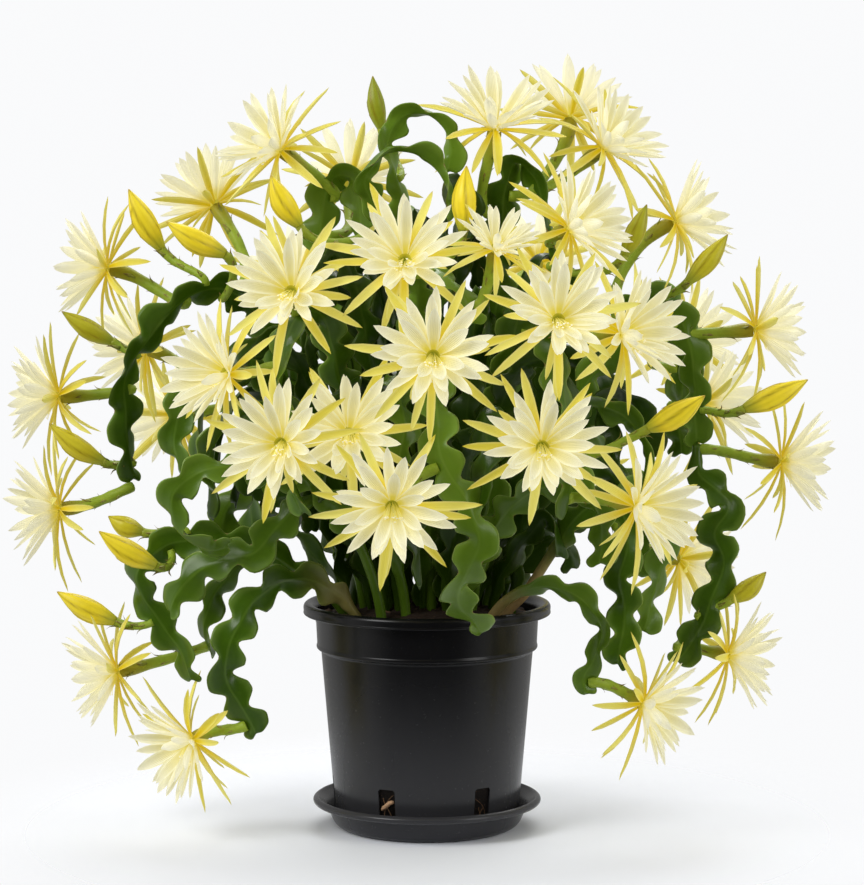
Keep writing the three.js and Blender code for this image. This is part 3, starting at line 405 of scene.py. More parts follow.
STYLE = {"length": 33, "radius": 0.9, "droop": 7, "lobes": 8, "lobe_length": 5.5}

# The angle between its two faces, in degrees, past which a tepal's edge is crisp.
TEPAL_EDGE = 70

# How much tepals of one whorl differ. inner: the share of the opening's spread that inner tepals
# have.
TEPAL_SPREAD = {
    "turn": (-0.13, 0.13), "opening": (-9, 9), "inner": 0.6, "reach": (0.9, 1.06),
    "width": (0.88, 1.08),
}

# What a tepal tries where it would meet a stem or another bloom: it leans further out or in, by
# degrees, and failing that is shorter. Only blooms this near are looked at.
TURNS = [0, 8, -8, 16, -15, 24, 33]
SHORTER = [1, 0.86, 0.7, 0.5]
NEAR_BLOOMS = 160

# ------------------------------------------------------------ the studio, in metres

FLOOR_HALF = 4
ROOM_LIGHT = 0.42
FRONT_SHADE = 0.85
SIDE_LIGHT = 0.8
ROOM_COLOUR = (1, 0.995, 0.98, 1)
SWEEP_COLOUR = (0.955, 0.96, 0.97, 1)

# name, place, width, height, watts
LIGHTS = [
    ("key", (-2.4, -2.0, 2.5), 1.5, 1.8, 84),
    ("fill", (2.5, -2.0, 1.4), 1.2, 2.2, 34),
    ("back", (0.4, 1.7, 2.6), 2.4, 1.6, 64),
]
LIGHTS_LOOK_AT = (0, 0, 0.42)

# The camera's place, its lens and sensor in millimetres, and how far it looks down, in degrees.
CAMERA = {"place": (0.005, -3.094, 0.669), "lens": 125.7, "sensor": 36, "down": 5.16}

# ------------------------------------------------------------ node trees


class Wire:
    """One output of a node. Arithmetic on it adds the Math nodes."""

    def __init__(self, tree, socket):
        self.tree = tree
        self.socket = socket

    def maths(self, operation, *others):
        return self.tree.maths(operation, self, *others)

    def __add__(self, other):
        return self.tree.maths("ADD", self, other)

    def __radd__(self, other):
        return self.tree.maths("ADD", other, self)

    def __sub__(self, other):
        return self.tree.maths("SUBTRACT", self, other)

    def __rsub__(self, other):
        return self.tree.maths("SUBTRACT", other, self)

    def __mul__(self, other):
        return self.tree.maths("MULTIPLY", self, other)

    def __rmul__(self, other):
        return self.tree.maths("MULTIPLY", other, self)

    def __truediv__(self, other):
        return self.tree.maths("DIVIDE", self, other)

    def __pow__(self, other):
        return self.tree.maths("POWER", self, other)

    def __neg__(self):
        return self.tree.maths("MULTIPLY", self, -1)


class Node:
    """A node whose outputs are read as wires, by name or by number."""

    def __init__(self, tree, node):
        self.tree = tree
        self.node = node

    def __getitem__(self, key):
        return Wire(self.tree, self.tree.pick(self.node.outputs, key))


class Tree:
    """Adds nodes to a node tree and links them."""

    def __init__(self, nodes_of):
        self.nodes = nodes_of.nodes
        self.links = nodes_of.links
        self.nodes.clear()

    @staticmethod
    def pick(sockets, key):
        """The socket with a number, or the one in use with a name."""
        if isinstance(key, int):
            return sockets[key]
        return next(s for s in sockets if s.enabled and s.name == key)

    def add(self, kind, settings=None, inputs=None):
        """Adds a node. Each of its inputs takes a wire or a plain value."""
        node = self.nodes.new(kind)
        for name, value in (settings or {}).items():
            setattr(node, name, value)
        for key, value in (inputs or {}).items():
            socket = self.pick(node.inputs, key)
            if isinstance(value, Wire):
                self.links.new(value.socket, socket)
            else:
                socket.default_value = value
        return Node(self, node)

    def maths(self, operation, *values):
        return self.add("ShaderNodeMath", {"operation": operation}, dict(enumerate(values)))[0]

    def vectors(self, operation, *values):
        return self.add("ShaderNodeVectorMath", {"operation": operation}, dict(enumerate(values)))[0]

    def scaled(self, vector, factor):
        return self.add("ShaderNodeVectorMath", {"operation": "SCALE"}, {0: vector, "Scale": factor})[0]

    def parts(self, vector):
        """The X, Y and Z of a vector."""
        return self.add("ShaderNodeSeparateXYZ", None, {0: vector})

    def ramp(self, value, low, high):
        """0 under low, 1 over high, and a soft rise between them."""
        settings = {"interpolation_type": "SMOOTHSTEP"}
        inputs = {"Value": value, "From Min": low, "From Max": high}
        return self.add("ShaderNodeMapRange", settings, inputs)[0]

    def share(self, value):
        """A value kept from 0 to 1."""
        return self.add("ShaderNodeClamp", None, {0: value})[0]


class GrowthTree(Tree):
    """A Geometry Nodes tree with named inputs, run on one mesh at a time."""

    def __init__(self, name, sizes):
        self.group = bpy.data.node_groups.new(name, "GeometryNodeTree")
        super().__init__(self.group)
        face = self.group.interface
        face.new_socket("Geometry", in_out="INPUT", socket_type="NodeSocketGeometry")
        face.new_socket("Geometry", in_out="OUTPUT", socket_type="NodeSocketGeometry")
        self.identifiers = {}
        for label, (kind, value) in sizes.items():
            socket = face.new_socket(label, in_out="INPUT", socket_type="NodeSocket" + kind)
            if value is not None:
                socket.default_value = value
            self.identifiers[label] = socket.identifier
        self.given = self.add("NodeGroupInput")

    def named(self, name, kind="FLOAT"):
        """A value that the points carry, by its name."""
        settings = {"data_type": kind}
        return self.add("GeometryNodeInputNamedAttribute", settings, {"Name": name})["Attribute"]

    def keep(self, geometry, values):
        """Stores each value on the points, under its name."""
        for name, value in values.items():
            settings = {"data_type": "FLOAT", "domain": "POINT"}
            inputs = {"Geometry": geometry, "Name": name, "Value": value}
            geometry = self.add("GeometryNodeStoreNamedAttribute", settings, inputs)["Geometry"]
        return geometry

    def end(self, geometry):
        """Ends the tree: plain mesh, smooth faces, the given material."""
        real = self.add("GeometryNodeRealizeInstances", None, {"Geometry": geometry})["Geometry"]
        smooth = self.add("GeometryNodeSetShadeSmooth", None, {"Geometry": real})["Geometry"]
        inputs = {"Geometry": smooth, "Material": self.given["Material"]}
        painted = self.add("GeometryNodeSetMaterial", None, inputs)["Geometry"]
        self.add("NodeGroupOutput", None, {"Geometry": painted})

    def grow(self, base, sizes):
        """The plain mesh that the tree makes of a base mesh."""
        holder = bpy.data.objects.new("growing", base)
        bpy.context.scene.collection.objects.link(holder)
        modifier = holder.modifiers.new("growth", "NODES")
        modifier.node_group = self.group
        for label, value in sizes.items():
            modifier[self.identifiers[label]] = value
        bpy.context.view_layer.update()
        graph = bpy.context.evaluated_depsgraph_get()
        seen = holder.evaluated_get(graph)
        made = bpy.data.meshes.new_from_object(seen, preserve_all_data_layers=True, depsgraph=graph)
        holder.modifiers.remove(modifier)
        bpy.data.objects.remove(holder)
        return made


# ------------------------------------------------------------ materials


def shade(code):
    """A linear colour from its six-digit screen code."""
    parts = [int(code[i:i + 2], 16) / 255 for i in (0, 2, 4)]
    return [c / 12.92 if c <= 0.04045 else ((c + 0.055) / 1.055) ** 2.4 for c in parts] + [1]


class Finish(Tree):
    """The shader tree of one finish. base is its base colour, as far as it is built up."""

    def __init__(self, name):
        self.material = bpy.data.materials.new(name)
        self.material.use_nodes = True
        super().__init__(self.material.node_tree)
        self.place = self.add("ShaderNodeTexCoord")["Object"]

    def trait(self, name):
        """A value that the piece's mesh carries."""
        return self.add("ShaderNodeAttribute", {"attribute_name": name})["Fac"]

    def noise(self, scale, detail=3, stretch=None, rough=0.5):
        """Noise from 0 to 1. scale: spots in a metre, about. stretch: a factor for each axis."""
        vector = self.place
        if stretch:
            vector = self.add("ShaderNodeMapping", None, {"Vector": vector, "Scale": stretch})[0]
        inputs = {"Vector": vector, "Scale": scale, "Detail": detail, "Roughness": rough}
        return self.add("ShaderNodeTexNoise", None, inputs)[0]

    def blend(self, amount, under, over):
        settings = {"data_type": "RGBA", "clamp_factor": True}
        return self.add("ShaderNodeMix", settings, {"Factor": amount, "A": under, "B": over})["Result"]

    def between(self, amount, under, over):
        """A colour between two screen codes."""
        return self.blend(amount, shade(under), shade(over))

    def coat(self, amount, code):
        """Blends one more colour over the base colour."""
        self.base = self.blend(amount, self.base, shade(code))

    def done(self, roughness, height=None, depth=0.3, glow=None, plain=None):
        """Joins up the shader round the base colour. height: a bump, in parts of depth
        millimetres. glow: the share of its own colour that it gives off, painted light that stands
        in for light shining through from behind. plain: other sockets, by name."""
        inputs = {"Base Color": self.base, "Roughness": roughness, **(plain or {})}
        if glow:
            inputs["Emission Color"] = self.base
            inputs["Emission Strength"] = glow
        if height is not None:
            bump = {"Height": height, "Distance": depth * MM, "Strength": 1}
            inputs["Normal"] = self.add("ShaderNodeBump", None, bump)["Normal"]
        shader = self.add("ShaderNodeBsdfPrincipled", None, inputs)[0]
        self.add("ShaderNodeOutputMaterial", None, {"Surface": shader})
        return self.material


def moulded_plastic():
    """Satin black plastic: faint streaks down its sides, a little dust, and paler near the foot as a
    painted reflection of the floor.
    """
    finish = Finish("black_plastic")
    streaks = finish.noise(60, 1, (1, 1, 0.06))
    dust = finish.ramp(finish.noise(210, 5, None, 0.7), 0.56, 0.8)
    painted_floor_reflection = 1 - finish.ramp(finish.parts(finish.place)["Z"], 0.015, 0.19)
    finish.base = finish.between(streaks, "09090a", "121214")
    finish.coat(dust * 0.06, "34332f")
    # Painted reflection: paler towards the foot, as if the floor were reflected there.
    finish.coat(painted_floor_reflection * 0.8, "37373a")
    height = finish.noise(700, 1) * 0.1
    return finish.done(0.26 + 0.04 * dust, height, 0.08, plain={"Specular IOR Level": 0.25})


def bark():
    """Composted bark and fibre, dark and damp, with painted shade on the potting mix's sides in the pot."""
    finish = Finish("potting_bark")
    tone = finish.trait("tone")
    grain = finish.noise(160, 6, (1, 1, 2.2), 0.7)
    specks = finish.ramp(finish.noise(700, 3), 0.63, 0.7)
    dark = finish.between(grain, "110b07", "33231a")
    warm = finish.between(grain, "3a271a", "8d6c4c")
    finish.base = finish.blend(finish.ramp(tone, 0.4, 0.92), dark, warm)
    # Painted shade: a tone under 0.2 darkens to near black. The mix's sides in the pot carry such a tone;
    # on the darkest chips it is their own darker bark.
    finish.coat((1 - finish.ramp(tone, 0, 0.2)) * 0.75, "070403")
    finish.coat(finish.ramp(tone, 0.97, 0.99) * 0.8, "c09a78")
    finish.coat(specks * 0.4, "8a6a4c")
    height = grain * 0.8 + finish.noise(520, 4) * 0.4
    return finish.done(0.82 + 0.15 * grain, height, 1.6, plain={"Specular IOR Level": 0.3})


def leafy_skin():
    """The waxy green skin of the flat stems: paler midrib, corky scars in the notches, tan bark
    on a woody stalk; an edge line, partly its own pale margin and partly a painted rim highlight;
    painted sheen on the blade's outer half, painted shade on the inner stems and a faint painted
    glow."""
    finish = Finish("stem_skin")
    across, flat, fresh, tone, scar, wood, reach = (
        finish.trait(name) for name in ("across", "flat", "fresh", "tone", "scar", "wood", "reach"))
    patches = finish.noise(17, 4, None, 0.6)
    fine = finish.noise(230, 4, None, 0.6)
    cork = finish.noise(90, 5, (1, 1, 0.25), 0.7)
    barked = wood * (1 - finish.ramp(reach, 0.2, 0.42))
    dark = finish.between(patches, "122802", "466a05")
    pale = finish.between(patches, "628612", "8cab3c")
    finish.base = finish.blend(finish.share(fresh * 0.85 + tone * 0.35), dark, pale)
    finish.coat(fine * 0.2, "567c1c")
    finish.coat((1 - finish.ramp(across, 0.02, 0.12)) * flat * 0.13, "8aa84c")
    # Painted sheen: the blade's outer half is paler in patches.
    finish.coat(finish.ramp(across, 0.5, 1) * patches * flat * 0.6, "8aa848")
    # A thin pale edge line, partly the stem's own margin and partly a painted rim highlight.
    finish.coat(finish.ramp(across, 0.94, 0.985) * flat * 0.5, "a8bc64")
    finish.coat(finish.ramp(scar, 0.45, 0.9), "8d7a4c")
    stalk = finish.between(patches, "2b4208", "546f1c")
    finish.base = finish.blend((1 - flat) * 0.8, finish.base, stalk)
    # Painted shade: stems with a value under 0 darken, for the inner stems deep in the crown.
    finish.coat(finish.share(-fresh) * 0.75, "1a2e02")
    finish.base = finish.blend(barked, finish.base, finish.between(cork, "6e5632", "b89c6a"))
    roughness = 0.24 + 0.12 * fine + 0.35 * barked
    height = fine * 0.35 + finish.noise(60, 3) * 0.5 + cork * barked * 1.5
    # Painted light: a faint glow of its own colour.
    return finish.done(roughness, height, 0.3, 0.03, {"Specular IOR Level": 0.25})


def tube_skin():
    """A flower tube: green at its foot, olive-brown under the bloom, with darker streaks."""
    finish = Finish("tube_skin")
    mottle = finish.noise(120, 4, None, 0.65)
    finish.base = finish.between(mottle, "6c8c18", "a4b43c")
    finish.coat(finish.ramp(finish.trait("reach"), 0.6, 1) * 0.7, "a08a20")
    finish.coat(finish.ramp(mottle, 0.6, 0.75) * 0.4, "7c5a2e")
    # Painted light: a faint glow of its own colour brightens the tube.
    return finish.done(0.45 + 0.1 * mottle, mottle, 0.5, 0.1, {"Specular IOR Level": 0.28})


def bract_skin():
    """A bract: olive at its root, brown and dry at its tip."""
    finish = Finish("bract_skin")
    finish.base = finish.between(finish.ramp(finish.trait("along"), 0.3, 1), "8f9e34", "80602c")
    finish.coat(finish.noise(300) * 0.4, "a58a4a")
    return finish.done(0.55, finish.noise(500), 0.2)


def outer_tepal_skin():
    """An outer tepal: lemon yellow, golden at the root, browned at the tip and on the back."""
    finish = Finish("outer_tepal_skin")
    along, across, back, tone = (finish.trait(name) for name in ("along", "across", "back", "tone"))
    veins = finish.maths("SINE", across * 21 + finish.noise(40) * 3) * 0.5 + 0.5
    finish.base = finish.between(tone, "bcaf38", "c6bf62")
    finish.coat(1 - finish.ramp(along, 0.05, 0.6), "c4ac0b")
    finish.coat(finish.ramp(across.maths("ABSOLUTE"), 0.4, 1) * 0.4, "cbc890")
    finish.coat(veins * 0.2, "b09e28")
    finish.coat(back * (1 - finish.ramp(along, 0.1, 0.9)) * 0.4, "b2961a")
    finish.coat(finish.ramp(along, 0.93, 1) * tone * 0.6, "9c8030")
    height = veins * 0.8 + finish.noise(400) * 0.3
    # Painted light: a glow of its own colour stands in for light shining through the thin tepal.
    return finish.done(0.48, height, 0.25, 0.6, {"Specular IOR Level": 0.3})


def inner_tepal_skin():
    """An inner tepal: cream white and silky, paler on its back, yellow towards the throat."""
    finish = Finish("inner_tepal_skin")
    along, across, back, tone = (finish.trait(name) for name in ("along", "across", "back", "tone"))
    veins = finish.maths("SINE", across * 26 + finish.noise(30) * 3) * 0.5 + 0.5
    finish.base = finish.between(tone, "bab58a", "c4c19e")
    finish.coat((1 - finish.ramp(along, 0.05, 0.8)) * 0.75, "c6ba66")
    finish.coat(finish.ramp(along, 0.5, 1) * 0.55, "d6d4c0")
    finish.coat(back * finish.ramp(along, 0.1, 0.4) * 0.65, "e0decc")
    finish.coat((1 - finish.ramp(along, 0.04, 0.3)) * 0.9, "c5b518")
    finish.coat(veins * 0.25, "bcb284")
    finish.coat(finish.ramp(across.maths("ABSOLUTE"), 0.5, 1) * 0.4, "d4d2b6")
    height = veins * 0.8 + finish.noise(300) * 0.4
    # Painted light: a glow of its own colour stands in for light shining through the thin tepal.
    return finish.done(0.5, height, 0.4, 0.7, {"Specular IOR Level": 0.3, "Sheen Weight": 0.1})


def throat_skin():
    """The throat: deep green at the bottom, olive yellow where the tepals grow out."""
    finish = Finish("throat_skin")
    finish.base = finish.between(finish.ramp(finish.trait("along"), 0.05, 0.8), "c9bc34", "6c8020")
    finish.coat(finish.noise(260) * 0.25, "76882c")
    # Painted light: a glow of its own colour lightens the throat where it lies in shade.
    return finish.done(0.5, finish.noise(500), 0.2, 0.3)


def stamen_skin():
    """Pale yellow filaments with cream anthers."""
    finish = Finish("stamen_skin")
    along = finish.trait("along")
    grain = finish.noise(1200, 2)
    finish.base = finish.between(finish.ramp(along, 0.1, 0.6), "c8c040", "e8e290")
    finish.coat(finish.ramp(along, 0.88, 0.92), "f6f2dc")
    finish.coat(grain * 0.2, "e2c878")
    # Painted light: a glow of its own colour brightens the stamens.
    return finish.done(0.6, grain, 0.2, 0.3)


def bud_skin():
    """A bud: golden or still green, darker in its folds, green at its foot, brown at its tip."""
    finish = Finish("bud_skin")
    along, fold, green = (finish.trait(name) for name in ("along", "fold", "green"))
    streak = finish.noise(50, 4, None, 0.6)
    gold = finish.between(streak, "d8bc08", "f4e23c")
    olive = finish.between(streak, "66780e", "989c26")
    finish.base = finish.blend(finish.share(green + finish.ramp(along, 0.86, 1) * 0.3), gold, olive)
    finish.coat(fold * 0.8, "7a640a")
    finish.coat((1 - finish.ramp(along, 0, 0.3)) * 0.7, "7d8c2c")
    finish.coat(finish.ramp(along, 0.93, 1) * 0.6, "8a5a2a")
    height = streak * 0.5 + finish.noise(320) * 0.4
    # Painted light: a glow of its own colour brightens the bud.
    return finish.done(0.42, height, 0.3, 0.28, {"Specular IOR Level": 0.3})


def studio_floor():
    """A plain pale floor that fades out into the pale room, from the pot outwards."""
    finish = Finish("studio_floor")
    away = finish.add("ShaderNodeVectorMath", {"operation": "LENGTH"}, {0: finish.place})["Value"]
    finish.base = finish.between(finish.noise(3) * 0.3, "eef1f8", "ebeef4")
    inputs = {"Alpha": 1 - finish.ramp(away, 0.13, 0.55), "Specular IOR Level": 0.15}
    return finish.done(0.85, plain=inputs)


# ------------------------------------------------------------ plain meshes


def give_trait(mesh, name, values, kind="FLOAT"):
    """Stores a value for each point of a mesh, under its name, for a finish or a growth tree."""
    key = "vector" if kind == "FLOAT_VECTOR" else "value"
    number = np.int32 if kind == "INT" else np.float32
    mesh.attributes.new(name, kind, "POINT").data.foreach_set(key, np.array(values, number).ravel())


def mesh_of(points, faces, traits, material):
    """A smooth mesh in metres from points in millimetres. traits: values for each point."""
    mesh = bpy.data.meshes.new("piece")
    mesh.from_pydata((np.array(points, float) * MM).tolist(), [], faces)
    for name, values in traits.items():
        give_trait(mesh, name, values)
    mesh.shade_smooth()
    mesh.materials.append(material)
    return mesh


def merged(meshes):
    """One mesh of several, with all their traits and materials."""
    names = sorted({a.name for m in meshes for a in m.attributes if is_trait(a)})
    whole = bpy.data.meshes.new("piece")
    points, faces, slots, materials = [], [], [], []
    values = {name: [] for name in names}
    for mesh in meshes:
        start = len(points)
        points.extend(tuple(v.co) for v in mesh.vertices)
        own = [materials_index(materials, m) for m in mesh.materials]
        for polygon in mesh.polygons:
            faces.append([start + i for i in polygon.vertices])
            slots.append(own[polygon.material_index])
        for name in names:
            layer = mesh.attributes.get(name)
            column = np.zeros(len(mesh.vertices), np.float32)
            if layer:
                layer.data.foreach_get("value", column)
            values[name].append(column)
    whole.from_pydata(points, [], faces)
    for material in materials:
        whole.materials.append(material)
    whole.polygons.foreach_set("material_index", slots)
    for name in names:
        give_trait(whole, name, np.concatenate(values[name]))
    whole.shade_smooth()
    return whole


def is_trait(attribute):
    """Whether an attribute is one that this script gave the points."""
    return attribute.domain == "POINT" and attribute.data_type == "FLOAT" and attribute.name[0] != "."


def materials_index(materials, material):
    """A material's place in a list of them, where it is put if it isn't there yet."""
    if material not in materials:
        materials.append(material)
    return materials.index(material)


def lofted(rings, traits, material):
    """Closed rings joined into one skin, counter-clockwise seen from the far end. A ring of one
    point closes an end; a wider end ring is closed with one face. traits: a value for each ring."""
    points, faces, starts = [], [], []
    for ring in rings:
        starts.append(len(points))
        points.extend(ring)
    for k in range(len(rings) - 1):
        a, b = starts[k], starts[k + 1]
        here, there = len(rings[k]), len(rings[k + 1])
        for i in range(max(here, there)):
            j = (i + 1) % max(here, there)
            if here == 1:
                faces.append([a, b + j, b + i])
            elif there == 1:
                faces.append([a + i, a + j, b])
            else:
                faces.append([a + i, a + j, b + j, b + i])
    if len(rings[0]) > 1:
        faces.append([starts[0] + i for i in reversed(range(len(rings[0])))])
    if len(rings[-1]) > 1:
        faces.append([starts[-1] + i for i in range(len(rings[-1]))])
    spread = {}
    for name, values in traits.items():
        spread[name] = []
        for ring, value in zip(rings, values):
            spread[name].extend([value] * len(ring) if np.isscalar(value) else value)
    return mesh_of(points, faces, spread, material)


def circle(radius, height, count):
    """Points round the pot's axis, at one height."""
    angles = [2 * math.pi * i / count for i in range(count)]
    return [(radius * math.cos(a), radius * math.sin(a), height) for a in angles]


def revolved(outline, facets, material):
    """An outline of (radius, height) turned round the pot's axis. It starts and ends on the axis."""
    rings = [circle(radius, height, facets if radius > 0 else 1) for radius, height in outline]
    return lofted(rings, {}, material)


def eased(corners, steps=5):
    """Rounds each (radius, height, easing) corner of an outline by a short arc."""
    outline = []
    for k, (radius, height, *easing) in enumerate(corners):
        here = np.array([radius, height], float)
        if not easing:
            outline.append(here)
            continue
        before = np.array(corners[k - 1][:2], float)
        after = np.array(corners[k + 1][:2], float)
        ends = []
        for other in (before, after):
            away = other - here
            length = np.linalg.norm(away)
            ends.append(here + away / length * min(easing[0], length * 0.48))
        for t in np.linspace(0, 1, steps):
            outline.append(ends[0] * (1 - t) ** 2 + here * 2 * t * (1 - t) + ends[1] * t ** 2)
    return outline


def place_piece(name, mesh, material_slot, *nodes):
    """Puts a finished mesh in the scene, on the plant's one body, in place of its nodes."""
    piece = bpy.data.objects.new(name, mesh)
    bpy.context.scene.collection.objects.link(piece)
    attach(piece, "root")
    if nodes:
        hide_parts(*nodes)
    return piece


# ------------------------------------------------------------ pot, saucer and potting mix


def pot_radius(height):
    """The pot's outer radius under its rim, at a height over its base."""
    ledge, foot, taper = POT["ledge_height"], POT["foot_radius"], POT["band_taper"]
    band_foot = POT["band_radius"] - taper
    if height < ledge:
        return foot + (band_foot - POT["ledge_step"] - foot) * height / ledge
    return band_foot + taper * (height - ledge) / (POT["height"] - ledge)


def saucer_mesh(material):
    """The saucer: a flat floor, a sloping wall and a rolled lip."""
    foot, lip, top = SAUCER["foot_radius"], SAUCER["lip_radius"], SAUCER["height"]
    under = top - SAUCER["lip_depth"]
    wall_top = lip - SAUCER["lip_width"]
    corners = [
        (0, 0), (foot - 6, 0, 1), (foot, 0, 4), (foot + 6, 4, 4), (wall_top, under, 1.5),
        (lip - 2.5, under, 1), (lip, under + 2, 2), (lip, top - 2.5, 2.5), (lip - 3, top, 2),
        (lip - 5, top, 1.5), (lip - 7, top - 2, 2), (wall_top - SAUCER["wall"], under, 3),
        (foot + 6.5 - SAUCER["wall"], 6, 3), (foot + 1.5, SAUCER["floor"], 3), (0, SAUCER["floor"]),
    ]
    return revolved(eased(corners), POT_FACETS, material)


def pot_mesh(material):
    """The pot, with its drainage windows cut through the foot."""
    rim, depth, ledge = POT["rim_radius"], POT["rim_depth"], POT["ledge_height"]
    wall, floor, height = POT["wall"], POT["floor"], POT["height"]
    corners = [
        (0, 0), (POT["foot_radius"] - POT["foot_round"], 0, 3), (pot_radius(4), 4, 4),
        (pot_radius(ledge - 0.1), ledge - 4, 2), (pot_radius(ledge) + 0.7, ledge - 1.5, 1.5),
        (pot_radius(ledge) + 0.7, ledge + 1, 1.2), (pot_radius(ledge), ledge + 2.5, 1.5),
        (pot_radius(height - depth), height - depth, 1.5), (rim - 0.8, height - depth, 0.8),
        (rim, height - depth + 1.2, 1), (rim - 0.5, height - depth + 2.6, 0.8),
        (rim, height - 3, 3), (rim - 2.5, height, 2.5), (rim - 7.5, height, 2.5),
        (pot_radius(height) - wall, height - 5, 4), (pot_radius(ledge) - wall, ledge, 1),
        (pot_radius(ledge - 0.1) - wall, ledge - 3.5, 1), (pot_radius(floor) - wall, floor, 2),
        (0, floor),
    ]
    outline = [(radius, z + POT_BASE) for radius, z in eased(corners)]
    shell = bpy.data.objects.new("shell", revolved(outline, POT_FACETS, material))
    cutter = bpy.data.objects.new("windows", window_blocks(material))
    for item in (shell, cutter):
        bpy.context.scene.collection.objects.link(item)
    cut = shell.modifiers.new("windows", "BOOLEAN")
    cut.operation = "DIFFERENCE"
    cut.solver = "EXACT"
    cut.object = cutter
    bpy.context.view_layer.update()
    mesh = bpy.data.meshes.new_from_object(shell.evaluated_get(bpy.context.evaluated_depsgraph_get()))
    for item in (shell, cutter):
        bpy.data.objects.remove(item)
    mesh.shade_smooth()
    mesh.set_sharp_from_angle(angle=math.radians(POT_EDGE_DEGREES))
    return mesh


def window_blocks(material):
    """One upright block for each drainage window, a little rounded at its corners."""
    inner = POT["foot_radius"] - WINDOW["under_floor"]
    half, top, corner = WINDOW["width"] / 2, WINDOW["top"], WINDOW["corner"]
    outline = [
        (-half, -5), (half, -5), (half, top - corner), (half - corner, top),
        (corner - half, top), (-half, top - corner),
    ]
    blocks = []
    for angle in WINDOW_ANGLES:
        out = np.array([math.sin(angle), -math.cos(angle), 0])
        side = np.array([math.cos(angle), math.sin(angle), 0])
        rings = [
            [out * depth + side * x + np.array([0, 0, z]) for x, z in outline]
            for depth in (inner, inner + WINDOW["cut"])
        ]
        blocks.append(lofted(rings, {}, material))
    return merged(blocks)


def mix_mesh(material):
    """The potting mix: smooth against the pot and darkened there as painted shade, lumpy on top."""
    inner = POT["wall"] + GAP
    floor, ledge = POT["floor"], POT["ledge_height"]
    top = POT["height"] - MIX["below_rim"]
    sides = [
        (pot_radius(floor) - inner, floor + GAP), (pot_radius(ledge - 0.1) - inner, ledge - 3.5 + GAP),
        (pot_radius(ledge) - inner, ledge + 1), (pot_radius(top) - inner, top),
    ]
    draw = random.Random(SEEDS["mix"])
    rim = sides[-1][0]
    rings = [[(0, 0, sides[0][1] + POT_BASE)]]
    heights = [(radius, height, 0) for radius, height in sides]
    for share in np.linspace(0.97, 0.03, MIX_LUMPS["rings"]):
        heights.append((rim * share, top + MIX["dome"] * (1 - share * share), MIX_LUMPS["height"]))
    for radius, height, lumps in heights:
        ring = circle(radius, height + POT_BASE, MIX_LUMPS["facets"])
        rings.append([(x, y, z + lumps * (draw.random() - 0.6)) for x, y, z in ring])
    rings.append([(0, 0, MIX_TOP + MIX["dome"])])
    # The sides against the pot take a tone that the bark finish darkens to near black: painted shade on the
    # mix seen through the drainage windows.
    tones = [0.02] * 5 + [0.2] * (len(rings) - 5)
    return lofted(rings, {"tone": tones}, material)


def chip_shapes():
    """A few broken bark chips, each a flat block with torn ends."""
    draw = random.Random(SEEDS["chips"])
    chips = bpy.data.collections.new("chips")
    for number in range(CHIP["shapes"]):
        long, wide, thick = (draw.uniform(*CHIP[key]) for key in ("length", "width", "thickness"))
        rings = []
        for x, size in ((-1, 0.55), (-0.4, 1), (0.45, 0.95), (1, 0.5)):
            rings.append([
                (x * long * draw.uniform(0.85, 1.1), y * wide * size * draw.uniform(0.75, 1.15),
                 z * thick * size * draw.uniform(0.7, 1.2))
                for y, z in ((-1, -0.7), (0.9, -1), (1.1, 0.6), (0, 1.1), (-1, 0.8))
            ])
        chips.objects.link(bpy.data.objects.new(f"chip_{number}", lofted(rings, {}, None)))
    return chips


def chip_tree():
    """Bark chips strewn over a surface, half sunk in it."""
    tree = GrowthTree("strewn_chips", {
        "Chips": ("Collection", None), "Density": ("Float", CHIPS_PER_AREA),
        "Smallest": ("Float", CHIP_SIZES[0]), "Largest": ("Float", CHIP_SIZES[1]), "Seed": ("Int", 3),
        "Material": ("Material", None),
    })
    given = tree.given
    inputs = {"Mesh": given["Geometry"], "Density": given["Density"], "Seed": given["Seed"]}
    strewn = tree.add("GeometryNodeDistributePointsOnFaces", {"distribute_method": "RANDOM"}, inputs)
    chips = tree.add("GeometryNodeCollectionInfo", None, {
        "Collection": given["Chips"], "Separate Children": True, "Reset Children": True,
    })
    vector = {"data_type": "FLOAT_VECTOR"}
    turn = tree.add("FunctionNodeRandomValue", vector, {
        "Min": (-0.5, -0.5, 0), "Max": (0.5, 0.5, 2 * math.pi), "Seed": given["Seed"],
    })["Value"]
    size = tree.add("FunctionNodeRandomValue", {"data_type": "FLOAT"}, {
        "Min": given["Smallest"], "Max": given["Largest"], "Seed": given["Seed"] + 1,
    })["Value"]
    tone = tree.add("FunctionNodeRandomValue", {"data_type": "FLOAT"}, {"Seed": given["Seed"] + 2})["Value"]
    points = tree.keep(strewn["Points"], {"tone": tone})
    rotation = tree.add("FunctionNodeEulerToRotation", None, {"Euler": turn})["Rotation"]
    set_out = tree.add("GeometryNodeInstanceOnPoints", None, {
        "Points": points, "Instance": chips["Instances"], "Pick Instance": True,
        "Rotation": rotation, "Scale": size,
    })["Instances"]
    tree.end(set_out)
    return tree


def mix_surface():
    """The top of the potting mix that chips lie on."""
    rim = pot_radius(POT["height"] - MIX["below_rim"]) - POT["wall"] - 5
    facets = CHIP_GROUND_FACETS
    points = circle(rim, MIX_TOP, facets) + [(0, 0, MIX_TOP + MIX["dome"])]
    faces = [[i, (i + 1) % facets, facets] for i in range(facets)]
    return mesh_of(points, faces, {}, None)


